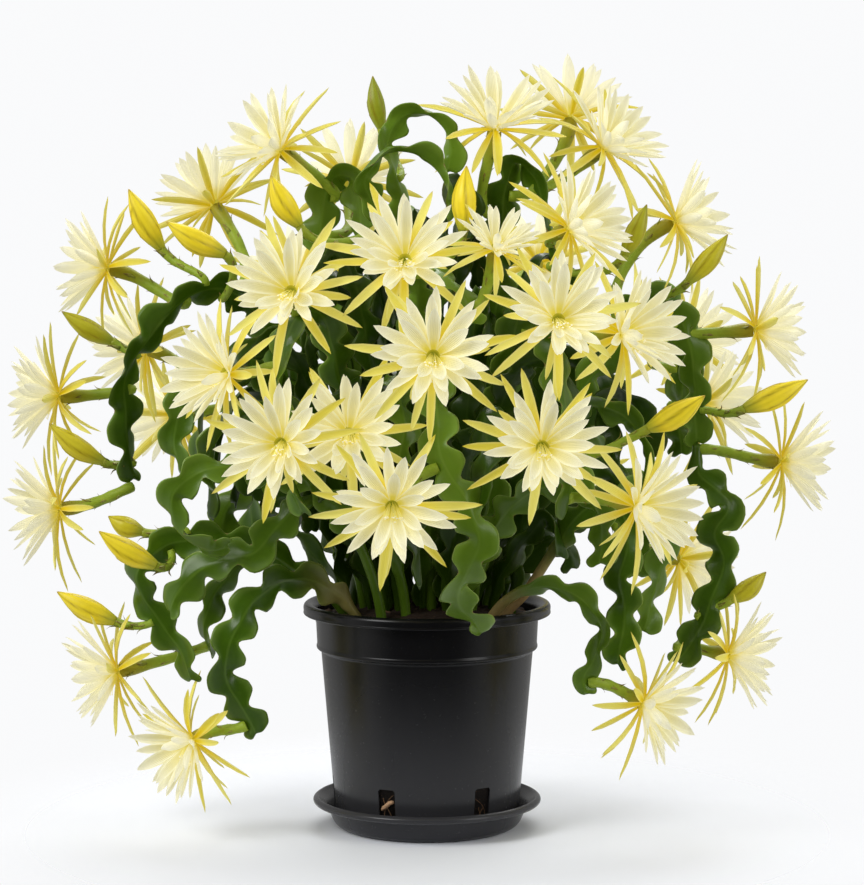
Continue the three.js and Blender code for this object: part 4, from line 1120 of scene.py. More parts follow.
def root_lines():
    """Roots that show behind the drainage windows, as lines with a thickness."""
    draw = random.Random(SEEDS["roots"])
    lines = []
    for k, middle in enumerate(WINDOW_ANGLES):
        for strand in range(ROOT_STRANDS):
            if strand == 0 and k % STOUT_EVERY == 0:
                low, high, lean, thick = STOUT_ROOT.values()
            else:
                low, high, lean, thick = (draw.uniform(*ends) for ends in THIN_ROOT.values())
            points = []
            for t in np.linspace(0, 1, 12):
                angle = middle + lean * (1 - 2 * t) + 0.02 * math.sin(5 * t + strand)
                z = low + (high - low) * t + 3 * math.sin(math.pi * t)
                radius = pot_radius(z) - POT["wall"] - GAP + thick * (0.3 - 2.5 * abs(2 * t - 1) ** 4)
                points.append((radius * math.sin(angle), -radius * math.cos(angle), z + POT_BASE))
            lines.append((np.array(points), [thick] * len(points)))
    return lines


# ------------------------------------------------------------ flat stems


def facing(azimuth, elevation):
    """The way at an azimuth from the front towards +X and at an elevation, both in degrees."""
    a, e = math.radians(azimuth), math.radians(elevation)
    return np.array([math.sin(a) * math.cos(e), -math.cos(a) * math.cos(e), math.sin(e)])


def unit(vector):
    """A vector's way, one long."""
    return vector / np.linalg.norm(vector)


def soft(share):
    """A soft rise from 0 to 1."""
    t = min(max(share, 0), 1)
    return t * t * (3 - 2 * t)


def curve_through(corners):
    """Dense points along a centripetal Catmull-Rom curve."""
    p = np.array(corners, float)
    p = np.vstack([2 * p[0] - p[1], p, 2 * p[-1] - p[-2]])
    t = np.linspace(0, 1, 24, endpoint=False)[:, None]
    points = []
    for a, b, c, d in zip(p, p[1:], p[2:], p[3:]):
        ab, bc, cd = (np.linalg.norm(v) ** 0.5 for v in (b - a, c - b, d - c))
        leave = ((b - a) / ab - (c - a) / (ab + bc) + (c - b) / bc) * bc
        arrive = ((c - b) / bc - (d - b) / (bc + cd) + (d - c) / cd) * bc
        points.append(b + leave * t + (3 * (c - b) - 2 * leave - arrive) * t ** 2
                      + (2 * (b - c) + leave + arrive) * t ** 3)
    return np.vstack([*points, p[-2:-1]])


def bent_line(a, b, c, d, count):
    """Points along a cubic Bezier curve."""
    t = np.linspace(0, 1, count)[:, None]
    return a * (1 - t) ** 3 + 3 * b * t * (1 - t) ** 2 + 3 * c * t ** 2 * (1 - t) + d * t ** 3


def sides_along(points, first_side):
    """The way along a line at each point, and a sideways way that doesn't turn about it."""
    ways, sides = [], []
    side = first_side
    for k in range(len(points)):
        way = unit(points[min(k + 1, len(points) - 1)] - points[max(k - 1, 0)])
        side = unit(side - way * side.dot(way))
        ways.append(way)
        sides.append(side)
    return np.array(ways), np.array(sides)


def add_midrib(ribbon):
    """Gives a flat stem its midrib: even points, each with the way along and the way sideways."""
    corners = [c if len(c) == 3 else [*c, MIX_DEPTH] for c in ribbon["path"]]
    dense = curve_through(corners)
    reach = np.concatenate([[0], np.cumsum(np.linalg.norm(np.diff(dense, axis=0), axis=1))])
    length = reach[-1]
    stations = np.linspace(0, length, round(length / MIDRIB_STEP) + 1)
    points = np.stack([np.interp(stations, reach, dense[:, k]) for k in range(3)], 1)
    first = np.cross(unit(points[1] - points[0]), facing(ribbon["face"], 0))
    ways, sides = sides_along(points, first)
    turn = np.radians(ribbon["twist"]) * stations / length
    sides = sides * np.cos(turn)[:, None] + np.cross(ways, sides) * np.sin(turn)[:, None]
    ribbon.update(length=length, points=points, ways=ways, sides=sides)
    ribbon["lobes"] = round((length - ribbon["stalk"]) / (STEM["lobe_pitch"] / 2))


def areoles_of(ribbon):
    """The bottoms of the notches along both edges of a flat stem."""
    places = []
    blade = ribbon["length"] - ribbon["stalk"]
    for lobe in range(1, ribbon["lobes"] + 1):
        s = ribbon["stalk"] + blade * lobe / ribbon["lobes"]
        flat = soft((s - ribbon["stalk"]) / STEM["flare"])
        if flat <= 0.5:
            continue
        k = min(round(s / ribbon["length"] * (len(ribbon["points"]) - 1)), len(ribbon["points"]) - 1)
        end = min((ribbon["length"] - s) / STEM["tip_length"], 1)
        notch = ribbon["width"] * STEM["width_share"] / 2 * (1 - STEM["notch_depth"])
        notch *= STEM["tip_share"] + (1 - STEM["tip_share"]) * math.sqrt(max(end, 0))
        half = STEM["stalk_radius"] + (notch - STEM["stalk_radius"]) * flat
        ripple = STEM["ripple"] * flat * math.sin(2 * math.pi * s / STEM["ripple_length"])
        sign = 1 if lobe % 2 == 0 else -1
        side = ribbon["sides"][k]
        to_edge = sign * (side * half + np.cross(ribbon["ways"][k], side) * ripple)
        places.append({
            "inner": ribbon["points"][k] + to_edge * 0.75, "point": ribbon["points"][k] + to_edge,
            "out": sign * side,
        })
    return places


def nearest_areole(free, target):
    """Takes the areole that is nearest to a point out of those that are free."""
    best = min(range(len(free)), key=lambda k: np.linalg.norm(free[k]["point"] - target))
    return free.pop(best)


def flat_stem_tree():
    """A scalloped flat stem along its midrib, from its round stalk to its blunt tip."""
    tree = GrowthTree("flat_stem", {
        "Stations": ("Int", 100), "Around": ("Int", 16), "Length": ("Float", 0.4),
        "Stalk": ("Float", 0.08), "Width": ("Float", 0.044), "Lobes": ("Float", 20),
        "Stalk Radius": ("Float", STEM["stalk_radius"] * MM), "Flare": ("Float", STEM["flare"] * MM),
        "Notch Depth": ("Float", STEM["notch_depth"]), "Tip Length": ("Float", STEM["tip_length"] * MM),
        "Tip Share": ("Float", STEM["tip_share"]), "Ripple": ("Float", STEM["ripple"] * MM),
        "Ripple Length": ("Float", STEM["ripple_length"] * MM),
        "Blade": ("Float", BLADE["half_thickness"] * MM), "Lobe Lag": ("Float", BLADE["lobe_lag"]),
        "Rib": ("Float", BLADE["rib"] * MM), "Rib Width": ("Float", BLADE["rib_width"] * MM),
        "Fold": ("Float", BLADE["fold"] * MM), "Tip Cleft": ("Float", BLADE["tip_cleft"] * MM),
        "Wood": ("Float", 0), "Fresh": ("Float", 0), "Tone": ("Float", 0.5),
        "Material": ("Material", None),
    })
    given = tree.given
    grid = tree.add("GeometryNodeMeshGrid", None, {
        "Size X": 1, "Size Y": 1, "Vertices X": given["Stations"], "Vertices Y": given["Around"] + 1,
    })["Mesh"]
    spot = tree.parts(tree.add("GeometryNodeInputPosition")[0])
    # How far along the stem, with more points near the tip, and how far round its section.
    share = 1 - tree.share(0.5 - spot["X"]) ** 1.35
    around = (spot["Y"] + 0.5) * (-2 * math.pi)
    cosine, sine = around.maths("COSINE"), around.maths("SINE")
    sign = cosine.maths("SIGN")
    reach = share * given["Length"]
    from_stalk = reach - given["Stalk"]
    to_tip = given["Length"] - reach
    flat = tree.ramp(from_stalk / given["Flare"], 0, 1)
    across = sign * cosine.maths("ABSOLUTE") ** (1 + flat * 0.7)
    # The notches, which take turns on the two edges.
    phase = from_stalk / (given["Length"] - given["Stalk"]) * given["Lobes"] * math.pi
    cycle, slope = sign * phase.maths("COSINE"), sign * phase.maths("SINE")
    lag = (1 - cycle) * given["Lobe Lag"]
    lagged = cycle * lag.maths("COSINE") + slope * lag.maths("SINE")
    notch = tree.share(0.5 + 0.5 * lagged) ** 2.1
    # Half the width and half the thickness, both closed at the two ends.
    tip = tree.share(to_tip / given["Tip Length"]).maths("SQRT")
    lobed = given["Width"] / 2 * (1 - given["Notch Depth"] * notch)
    tapered = lobed * (given["Tip Share"] + (1 - given["Tip Share"]) * tip)
    blunt = tree.share(to_tip / (BLADE["blunt_tip"] * MM))
    foot = tree.share(reach / (BLADE["blunt_foot"] * MM))
    closing = (blunt * (2 - blunt)).maths("SQRT") * foot.maths("SQRT")
    half = (given["Stalk Radius"] + (tapered - given["Stalk Radius"]) * flat) * closing
    blade = (given["Stalk Radius"] + (given["Blade"] - given["Stalk Radius"]) * flat) * closing
    hump = (-1 * (across * half / given["Rib Width"]) ** 2).maths("EXPONENT")
    thick = sine * blade + sine.maths("SIGN") * hump * given["Rib"] * flat * closing
    # How far the blade sways out of its own plane.
    wave = (reach / given["Ripple Length"] * (2 * math.pi)).maths("SINE")
    slow = (reach / given["Ripple Length"] * 3.9 + given["Tone"] * 9).maths("SINE")
    ripple = across * wave * given["Ripple"] + across ** 2 * slow * (1 - 0.7 * notch) * given["Fold"]
    raised = thick + ripple * flat * closing

    # The section is set out from the midrib, with a cleft at the tip.
    line = tree.add("GeometryNodeMeshToCurve", None, {"Mesh": given["Geometry"]})["Curve"]
    sample = {"data_type": "FLOAT_VECTOR", "mode": "FACTOR"}
    at = tree.add("GeometryNodeSampleCurve", sample, {
        "Curves": line, "Value": tree.named("side", "FLOAT_VECTOR"), "Factor": share,
    })
    normal = tree.vectors("NORMALIZE", tree.vectors("CROSS_PRODUCT", at["Tangent"], at["Value"]))
    sideways = tree.scaled(at["Value"], across * half)
    at_tip = tree.share(1 - to_tip / (BLADE["cleft_from_tip"] * MM))
    at_rib = (-1 * (across * half / (BLADE["cleft_width"] * MM)) ** 2).maths("EXPONENT")
    cleft = at_rib * at_tip
    pulled = tree.vectors("SUBTRACT", sideways, tree.scaled(at["Tangent"], cleft * given["Tip Cleft"]))
    offset = tree.vectors("ADD", pulled, tree.scaled(normal, raised))
    position = tree.vectors("ADD", at["Position"], offset)

    marked = tree.keep(grid, {
        "across": across.maths("ABSOLUTE"), "flat": flat, "reach": share,
        "scar": notch ** 6 * across.maths("ABSOLUTE") ** 5 * flat, "wood": given["Wood"],
        "fresh": given["Fresh"], "tone": given["Tone"],
    })
    inputs = {"Geometry": marked, "Position": position}
    moved = tree.add("GeometryNodeSetPosition", None, inputs)["Geometry"]
    welded = tree.add("GeometryNodeMergeByDistance", None, {"Geometry": moved, "Distance": 0.01 * MM})
    tree.end(welded["Geometry"])
    return tree


def line_mesh(points, traits, sides=None):
    """Points in millimetres joined by edges, for a growth tree."""
    mesh = bpy.data.meshes.new("line")
    edges = [(k, k + 1) for k in range(len(points) - 1)]
    mesh.from_pydata((np.array(points) * MM).tolist(), edges, [])
    for name, values in traits.items():
        give_trait(mesh, name, values)
    if sides is not None:
        give_trait(mesh, "side", sides, "FLOAT_VECTOR")
    return mesh


def flat_stem_mesh(tree, stem, ribbon, material):
    """One flat stem, grown by the tree. Only the first of a basal stem can have a woody stalk."""
    base = line_mesh(ribbon["points"], {}, ribbon["sides"])
    draw = random.Random(len(ribbon["points"]) * 7 + len(stem["name"]))
    first = stem["ribbons"] and ribbon is stem["ribbons"][0]
    fineness = stem["fineness"]
    return tree.grow(base, {
        "Stations": round(len(ribbon["points"]) * fineness), "Around": 16 if fineness > 1 else 12,
        "Length": ribbon["length"] * MM,
        "Stalk Radius": STEM["stalk_radius"] * ribbon["slender"] * MM,
        "Stalk": ribbon["stalk"] * MM, "Width": ribbon["width"] * STEM["width_share"] * MM,
        "Lobes": float(ribbon["lobes"]), "Wood": float(WOODY.get(stem["name"], 0) if first else 0),
        "Fresh": float(FRESH_AND_SHADED.get(stem["name"], 0)), "Tone": draw.random(), "Material": material,
    })


def is_free(ribbon, trees, hubs):
    """Whether a flat stem meets no other stem and keeps out of the blooms."""
    half = ribbon["width"] / 2
    above = ribbon["points"][:, 2] > MIX_TOP + INNER["over_mix"]
    points, sides = ribbon["points"][above], ribbon["sides"][above]
    away = np.linalg.norm(points[:, None] - hubs[None], axis=2)
    outside = np.hypot(points[:, 0], points[:, 1]) > POT["rim_radius"] - 15
    is_low = points[:, 2] < POT_RIM + INNER["over_rim"]
    if away.min() < INNER["bloom_room"] or (outside & is_low).any():
        return False
    spread = np.minimum(np.linspace(0.35, 5, len(points)), 1)[:, None]
    lines = [points, points + sides * half * spread, points - sides * half * spread]
    return not meets([[Vector(point) * MM for point in line[::3]] for line in lines], trees)


def inner_ribbon(number, trees, hubs):
    """A flat stem that rises inside the crown, leans out and hangs at its end: the first of its
    draws that meets nothing, or None."""
    draw = random.Random(SEEDS["inner_stem"] + number)
    for _ in range(INNER["tries"]):
        azimuth = number * INNER["turn"] + draw.uniform(-30, 30)
        out, side = facing(azimuth, 0), facing(azimuth + 90, 0)
        root, top, hang = (draw.uniform(*INNER[key]) for key in ("root", "top", "hang"))
        root = min(root, INNER["front_root"] / max(-out[1], 0.01))
        level = (top - INNER["lowest_dome"]) / (INNER["highest_dome"] - INNER["lowest_dome"])
        reach = INNER["reach"] * math.sqrt(1 - level ** 2) * draw.uniform(0.3, 1)
        sway = draw.uniform(-1, 1) * INNER["sway"]
        places = [
            # share of the reach, share of the sway, height
            (0, 0, MIX_DEPTH), (0.1, 0.2, MIX_TOP + 30), (0.36, 0.4, MIX_TOP + (top - MIX_TOP) * 0.6),
            (0.68, 0.7, top - 12), (0.86, 0.9, top), (1.02, 1.1, top - hang * 0.4),
            (1.06, 1.3, top - hang),
        ]
        path = [out * (root + (reach - root) * far) + side * sway * aside + np.array([0, 0, z])
                for far, aside, z in places]
        face, twist, stalk, slender, share = (
            draw.uniform(*INNER[key]) for key in ("face", "twist", "stalk", "slender", "width_share"))
        ribbon = flat_stem(path, face, twist, stalk, INNER["width"] * share, slender)
        add_midrib(ribbon)
        if is_free(ribbon, trees, hubs):
            return ribbon
    return None


# ------------------------------------------------------------ flower tubes, bracts and buds


def round_stalk_tree():
    """A round stalk along a line, as thick at each point as the point says."""
    tree = GrowthTree("round_stalk", {"Facets": ("Int", 9), "Material": ("Material", None)})
    line = tree.add("GeometryNodeMeshToCurve", None, {"Mesh": tree.given["Geometry"]})["Curve"]
    ring = tree.add("GeometryNodeCurvePrimitiveCircle", None, {
        "Resolution": tree.given["Facets"], "Radius": 1,
    })["Curve"]
    skin = tree.add("GeometryNodeCurveToMesh", None, {
        "Curve": line, "Profile Curve": ring, "Scale": tree.named("thick"), "Fill Caps": True,
    })["Mesh"]
    tree.end(skin)
    return tree


def stalk_mesh(tree, points, thick, traits, material):
    """A round stalk, grown by the tree, from points and a thickness at each, in millimetres."""
    line = line_mesh(points, {"thick": np.array(thick) * MM, **traits})
    return tree.grow(line, {"Material": material})


def setting_out_tree():
    """One of a few shapes on each point, turned and stretched as the point says."""
    tree = GrowthTree("setting_out", {"Shapes": ("Collection", None), "Material": ("Material", None)})
    shapes = tree.add("GeometryNodeCollectionInfo", None, {
        "Collection": tree.given["Shapes"], "Separate Children": True, "Reset Children": True,
    })["Instances"]
    turned = tree.named("turned", "FLOAT_VECTOR")
    rotation = tree.add("FunctionNodeEulerToRotation", None, {"Euler": turned})["Rotation"]
    set_out = tree.add("GeometryNodeInstanceOnPoints", None, {
        "Points": tree.given["Geometry"], "Instance": shapes, "Pick Instance": True,
        "Instance Index": tree.named("shape", "INT"), "Rotation": rotation,
        "Scale": tree.named("stretch", "FLOAT_VECTOR"),
    })["Instances"]
    tree.end(set_out)
    return tree


def points_mesh(places):
    """The points of the setting-out tree, from (point, turn matrix, stretch, shape, tone)."""
    points, turns, stretches, shapes, tones = zip(*places)
    mesh = bpy.data.meshes.new("points")
    mesh.from_pydata([tuple(np.array(point) * MM) for point in points], [], [])
    give_trait(mesh, "turned", [tuple(turn.to_euler()) for turn in turns], "FLOAT_VECTOR")
    give_trait(mesh, "stretch", stretches, "FLOAT_VECTOR")
    give_trait(mesh, "shape", shapes, "INT")
    give_trait(mesh, "tone", tones)
    return mesh


def shape_set(name, meshes):
    """A collection of template shapes, which aren't part of the scene themselves."""
    shapes = bpy.data.collections.new(name)
    for number, mesh in enumerate(meshes):
        shapes.objects.link(bpy.data.objects.new(f"{name}_{number}", mesh))
    return shapes


def axes(across, up, front):
    """A turn that takes X, Y and Z to three ways at right angles."""
    return Matrix([[across[k], up[k], front[k]] for k in range(3)])


def bract_shapes(material):
    """Small pointed bracts: one pressed to the tube, one that stands off and curls."""
    meshes = []
    for lift in (0.2, 0.45):
        rings = []
        for t, half, thick in ((0, 2.3, 0.7), (0.35, 1.9, 0.6), (0.7, 1, 0.4)):
            y, z = lift * BRACT["length"] * t * t, BRACT["length"] * t
            rings.append([(half, y, z), (0, y + thick, z), (-half, y, z), (0, y - thick, z)])
        rings.append([(0, lift * 14, 9.6)])
        meshes.append(lofted(rings, {"along": [0, 0.35, 0.7, 1]}, material))
    return shape_set("bract", meshes)


def tube_line(areole, bloom):
    """A flower tube from its areole to the back of its bloom."""
    axis = facing(bloom["azimuth"], bloom["elevation"])
    end = np.array(bloom["hub"]) - axis * GAP
    reach = np.linalg.norm(areole["point"] - end)
    points = bent_line(
        areole["inner"], areole["point"] + areole["out"] * reach * 0.3, end - axis * reach * 0.4, end,
        TUBE_FORM["steps"])
    thick = []
    for t in np.linspace(0, 1, TUBE_FORM["steps"]):
        stout = TUBE["radius"] * (TUBE_FORM["stoutness"] + TUBE_FORM["wave"] * math.sin(23 * t))
        swell = soft((t - TUBE_FORM["swell_from"]) / TUBE_FORM["swell_over"])
        thick.append(stout + (TUBE["hub_radius"] * bloom["size"] - TUBE["radius"]) * swell)
    return points, thick


def bract_places(points, thick, seed):
    """Bracts up a tube, each a golden turn further round than the last."""
    draw = random.Random(seed)
    ways, sides = sides_along(points, unit(np.cross(points[1] - points[0], [0.3, 0.4, 0.85])))
    places = []
    for number in range(BRACT["count"]):
        share = BRACT["first"] + BRACT["pitch"] * number
        k = round(share * (len(points) - 1))
        turn = number * BRACT["turn"] + draw.uniform(-0.3, 0.3)
        across = np.cross(ways[k], sides[k])
        out = sides[k] * math.cos(turn) + across * math.sin(turn)
        place = points[k] + out * thick[k] * 0.85
        size = (0.7 + 0.5 * share) * draw.uniform(0.8, 1.2)
        turned = axes(np.cross(out, ways[k]), out, ways[k])
        places.append((place, turned, (size, size, size), number % 2, draw.random()))
    return places


def bud_radius(share, green):
    """A bud's radius at a share of the way from its base to its tip. A green one is slimmer."""
    radius = float(np.interp(share, BUD_SHARES, BUD_RADII))
    return radius * (1 - BUD_FORM["slimmer"] * green)


def bud_mesh(base, tip, green, seed, material):
    """A closed bud: five tepals wrapped round it, each edge over the next."""
    draw = random.Random(seed)
    base, tip = np.array(base, float), np.array(tip, float)
    way = unit(tip - base)
    side = unit(np.cross(way, [0.2, 0.3, 1]))
    other = np.cross(way, side)
    start = draw.uniform(0, 6)
    bow = draw.uniform(1.5, 3.5)
    facets, tepals = BUD_FORM["facets"], BUD_FORM["tepals"]
    rings, folds = [], []
    for t in BUD_RINGS:
        ring, fold = [], []
        middle = base + (tip - base) * t + other * bow * math.sin(math.pi * t)
        for i in range(facets):
            angle = 2 * math.pi * i / facets
            wrap = (angle * tepals / (2 * math.pi) + 0.45 * t + start) % 1
            swell = 1 + 0.16 * (wrap - 0.5) * math.sin(math.pi * min(t + 0.08, 1)) ** 0.5
            radius = bud_radius(t, green) * swell
            ring.append(middle + (side * math.cos(angle) + other * math.sin(angle)) * radius)
            seam = math.exp(-9 * wrap) + math.exp(-15 * (1 - wrap))
            fold.append(seam + 0.2 * math.exp(-((wrap - 0.5) / 0.12) ** 2))
        rings.append(ring)
        folds.append(fold)
    rings.append([tip])
    folds.append([0])
    traits = {"along": [*BUD_RINGS, 1], "fold": folds, "green": [green] * len(rings)}
    return lofted(rings, traits, material)


def bud_stalk(areole, base, tip):
    """The short stalk from an areole to a bud's base."""
    base, tip = np.array(base, float), np.array(tip, float)
    way = unit(tip - base)
    reach = np.linalg.norm(areole["point"] - base)
    points = bent_line(
        areole["inner"], areole["point"] + areole["out"] * reach * 0.25, base - way * reach * 0.4,
        base + way * 1.5, BUD_FORM["stalk_steps"])
    shares = np.linspace(0, 1, BUD_FORM["stalk_steps"])
    thick = [BUD["stalk_radius"] * (1 + 0.15 * soft((t - 0.5) / 0.5)) for t in shares]
    return points, thick


# ------------------------------------------------------------ blooms


def tepal_shapes(kind, material):
    """Template tepals one millimetre long and two wide, each with its own bend and twist."""
    meshes = []
    for number, bend in enumerate(BENDS[kind]):
        rings, across, back = [], [], []
        for t, half in zip(TEPAL_STATIONS, TEPAL_WIDTHS[kind]):
            twist = (number - 1.5) * 0.16 * t
            body = 0.009 * (1 - 0.5 * t)
            ring = []
            for x, depth in TEPAL_SECTION:
                y = CUPS[kind] * half * x * x + body * depth - bend * t * t + twist * x * half * 0.06
                ring.append((x * half, y, t))
            rings.append(ring)
            across.append([x for x, _ in TEPAL_SECTION])
            back.append([0 if depth > 0 else 1 if depth < 0 else 0.5 for _, depth in TEPAL_SECTION])
        rings.append([(0, -bend + 0.012, 1)])
        across.append([0])
        back.append([0.5])
        traits = {"along": [*TEPAL_STATIONS, 1], "across": across, "back": back}
        meshes.append(lofted(rings, traits, material))
    return shape_set(kind + "_tepal", meshes)


def filament_mesh(bend, material):
    """A template stamen: a thin filament that droops, with its anther across the end."""
    length, radius = STAMENS["length"], STAMENS["radius"]
    rings, alongs = [], []
    for t in (0, 0.3, 0.6, 0.85, 1):
        y = -bend * t * t
        rings.append([
            (radius * math.cos(a), y + radius * math.sin(a), t * length) for a in (0, 2.1, 4.2)
        ])
        alongs.append(t * 0.85)
    heads = []
    for x, size in ((-1.5, 0), (-0.7, 0.85), (0.7, 0.85), (1.5, 0)):
        quarters = [a * math.pi / 2 for a in range(4 if size else 1)]
        heads.append([(x, -bend + size * math.cos(a), length + 0.4 + size * math.sin(a)) for a in quarters])
    filament = lofted(rings, {"along": alongs}, material)
    return merged([filament, lofted(heads, {"along": [1, 1, 1, 1]}, material)])


def style_mesh(material):
    """The style with its star of stigma lobes."""
    length, radius, droop = STYLE["length"], STYLE["radius"], STYLE["droop"]
    rings = [
        [(radius * math.cos(a), -droop * t * t + radius * math.sin(a), t * length)
         for a in (0, 1.26, 2.51, 3.77, 5.03)]
        for t in (0, 0.35, 0.7, 1)
    ]
    parts = [lofted(rings, {"along": [0.2, 0.6, 0.8, 0.86]}, material)]
    start = np.array([0, -droop, length - 0.5])
    for lobe in range(STYLE["lobes"]):
        turn = lobe * 2 * math.pi / STYLE["lobes"]
        out = np.array([math.cos(turn), math.sin(turn) * 0.9, 0.45])
        side = np.array([-math.sin(turn), math.cos(turn), 0])
        finger = []
        for t, half in ((0, 0.7), (0.6, 0.6), (1, 0.2)):
            middle = start + out * STYLE["lobe_length"] * t
            up = np.array([0, 0, half])
            finger.append([middle + side * half, middle + up, middle - side * half, middle - up])
        parts.append(lofted(finger, {"along": [1, 1, 1]}, material))
    return merged(parts)


def stamen_shapes(material):
    """Template stamens, each with its bend, and last the style."""
    stamens = [filament_mesh(bend, material) for bend in STAMENS["bends"]]
    return shape_set("stamen", [*stamens, style_mesh(material)])


def hub_mesh(material):
    """The hub that the tepals grow from, hollowed by the throat."""
    back, throat, height = HUB["back_radius"], HUB["throat_radius"], HUB["height"]
    corners = [
        (0, 0), (back, 0, 0.6), (throat, height - 0.6, 0.5), (throat - 0.8, height, 0.4),
        (throat - 3.2, height - HUB["throat_depth"] * 0.7, 1.5), (2, height - HUB["throat_depth"], 1),
        (0, height - HUB["throat_depth"] - 0.3),
    ]
    mesh = revolved(eased(corners, 3), 20, material)
    radii = [math.hypot(v.co.x, v.co.y) / MM for v in mesh.vertices]
    inside = [v.co.z / MM for v in mesh.vertices]
    along = [1 - min(r / throat, 1) if z > 1 else 0 for r, z in zip(radii, inside)]
    give_trait(mesh, "along", along)
    return mesh


def bloom_matrix(bloom):
    """From a bloom's own frame to its place in the plant, both in metres."""
    front = facing(bloom["azimuth"], bloom["elevation"])
    across = unit(np.cross([0, 0, 1], front))
    size = bloom["size"]
    turn = axes(across * size, np.cross(front, across) * size, front * size).to_4x4()
    turn.translation = Vector(bloom["hub"]) * MM
    return turn


def tepal_way(turn, opening):
    """The ways across, inwards and along a tepal, from its turn round the hub and its opening."""
    radial = np.array([math.cos(turn), math.sin(turn), 0])
    across = np.array([-math.sin(turn), math.cos(turn), 0])
    front = np.array([0, 0, 1])
    lean = math.radians(opening)
    return (across, front * math.sin(lean) - radial * math.cos(lean),
            front * math.cos(lean) + radial * math.sin(lean))


def meets(lines, trees):
    """Whether any of the lines of points passes through a mesh."""
    for line in lines:
        for a, b in zip(line, line[1:]):
            step = b - a
            for tree in trees:
                if tree.ray_cast(a, step.normalized(), step.length)[0] is not None:
                    return True
    return False


def tepal_lines(matrix, root, ways, reach, width, bend):
    """The middle and the two edges of a tepal, as points in the plant."""
    across, inwards, along = ways
    lines = []
    for side, shares in ((0, (0.15, 0.4, 0.7, 1.03)), (1, (0.2, 0.5, 0.8)), (-1, (0.2, 0.5, 0.8))):
        line = []
        for t in shares:
            half = side * width / 2 * (1 - abs(2 * t - 1) ** 2 * 0.6)
            point = root + along * reach * t - inwards * bend * reach * t * t + across * half
            line.append(matrix @ (Vector(point) * MM))
        lines.append(line)
    return lines


def tepal_places(number, bloom, trees):
    """Where a bloom's tepals go, whorl by whorl. One that would meet a stem or another bloom
    leans another way, and failing that is shorter."""
    draw = random.Random(SEEDS["tepals"] + number)
    matrix = bloom_matrix(bloom)
    tilt = CUP_TILT * max(0, -facing(bloom["azimuth"], bloom["elevation"])[1])
    places = {"outer": [], "inner": []}
    widening = HUB["throat_radius"] - HUB["back_radius"]
    for order, whorl in enumerate(WHORLS):
        kind, count, seat = whorl["kind"], whorl["count"], whorl["seat"]
        start = draw.uniform(0, 0.3) + order * 0.5
        radius = HUB["back_radius"] + widening * seat / HUB["height"]
        for i in range(count):
            turn = 2 * math.pi * (i + start + draw.uniform(*TEPAL_SPREAD["turn"])) / count
            lean = draw.uniform(*TEPAL_SPREAD["opening"])
            if kind == "inner":
                opening = whorl["opening"] + lean * TEPAL_SPREAD["inner"] + tilt * math.sin(turn)
            else:
                opening = whorl["opening"] + lean
            reach = whorl["reach"] * draw.uniform(*TEPAL_SPREAD["reach"])
            width = whorl["width"] * draw.uniform(*TEPAL_SPREAD["width"])
            shape = draw.randrange(len(BENDS[kind]))
            for share, extra in ((s, e) for s in SHORTER for e in TURNS):
                ways = tepal_way(turn, opening + extra)
                root = np.array([math.cos(turn), math.sin(turn), 0]) * (radius - 0.8)
                root[2] = seat
                length = reach * share
                lines = tepal_lines(matrix, root, ways, length, width, BENDS[kind][shape])
                if not meets(lines, trees):
                    break
            stretch = (width / 2 * share ** 0.5, length, length)
            places[kind].append((root, axes(*ways), stretch, shape, draw.random()))
    return places


def stamen_places(number):
    """The stamens of a bloom, which lie towards its lower side, and the style among them."""
    draw = random.Random(SEEDS["stamens"] + number)
    lean, cone = math.radians(STAMENS["lean"]), math.tan(math.radians(STAMENS["spread"]))
    middle = np.array([0, -math.sin(lean), math.cos(lean)])
    bends = len(STAMENS["bends"])
    places = []
    for k in range(STAMENS["count"] + 1):
        is_style = k == STAMENS["count"]
        turn = draw.uniform(0, 2 * math.pi)
        radial = np.array([math.cos(turn), math.sin(turn), 0])
        spread = 0 if is_style else cone * math.sqrt(draw.random())
        way = unit(middle + spread * radial)
        across = unit(np.cross([0, 1, 0], way))
        root = radial * (0 if is_style else draw.uniform(1.5, 4))
        root[2] = HUB["height"] - HUB["throat_depth"] + 1
        size = STAMENS["reach"] / STAMENS["length"] * draw.uniform(0.78, 1.1)
        shape = bends if is_style else draw.randrange(bends)
        turned = axes(across, np.cross(way, across), way)
        places.append((root, turned, (size, size, size), shape, draw.random()))
    return places


def search_tree(meshes):
    """A tree of the faces of several meshes, for tepals to keep clear of."""
    points, faces = [], []
    for mesh in meshes:
        start = len(points)
        points.extend(v.co.copy() for v in mesh.vertices)
        faces.extend([start + i for i in p.vertices] for p in mesh.polygons)
    return BVHTree.FromPolygons(points, faces)


# ------------------------------------------------------------ the plant in its pot


def place_grown(name, meshes, material_slot, *nodes):
    """Places meshes as one piece of the plant, which inner stems and tepals keep clear of."""
    if meshes:
        piece = merged(meshes)
        place_piece(name, piece, material_slot, *nodes)
        plant_meshes.append(piece)


def blades_of(stem):
    """A basal stem's flat stems, and the areoles along them."""
    blades, areoles = [], []
    for ribbon in stem["ribbons"]:
        add_midrib(ribbon)
        areoles.extend(areoles_of(ribbon))
        blades.append(flat_stem_mesh(flat_stems, stem, ribbon, skin))
    return blades, areoles


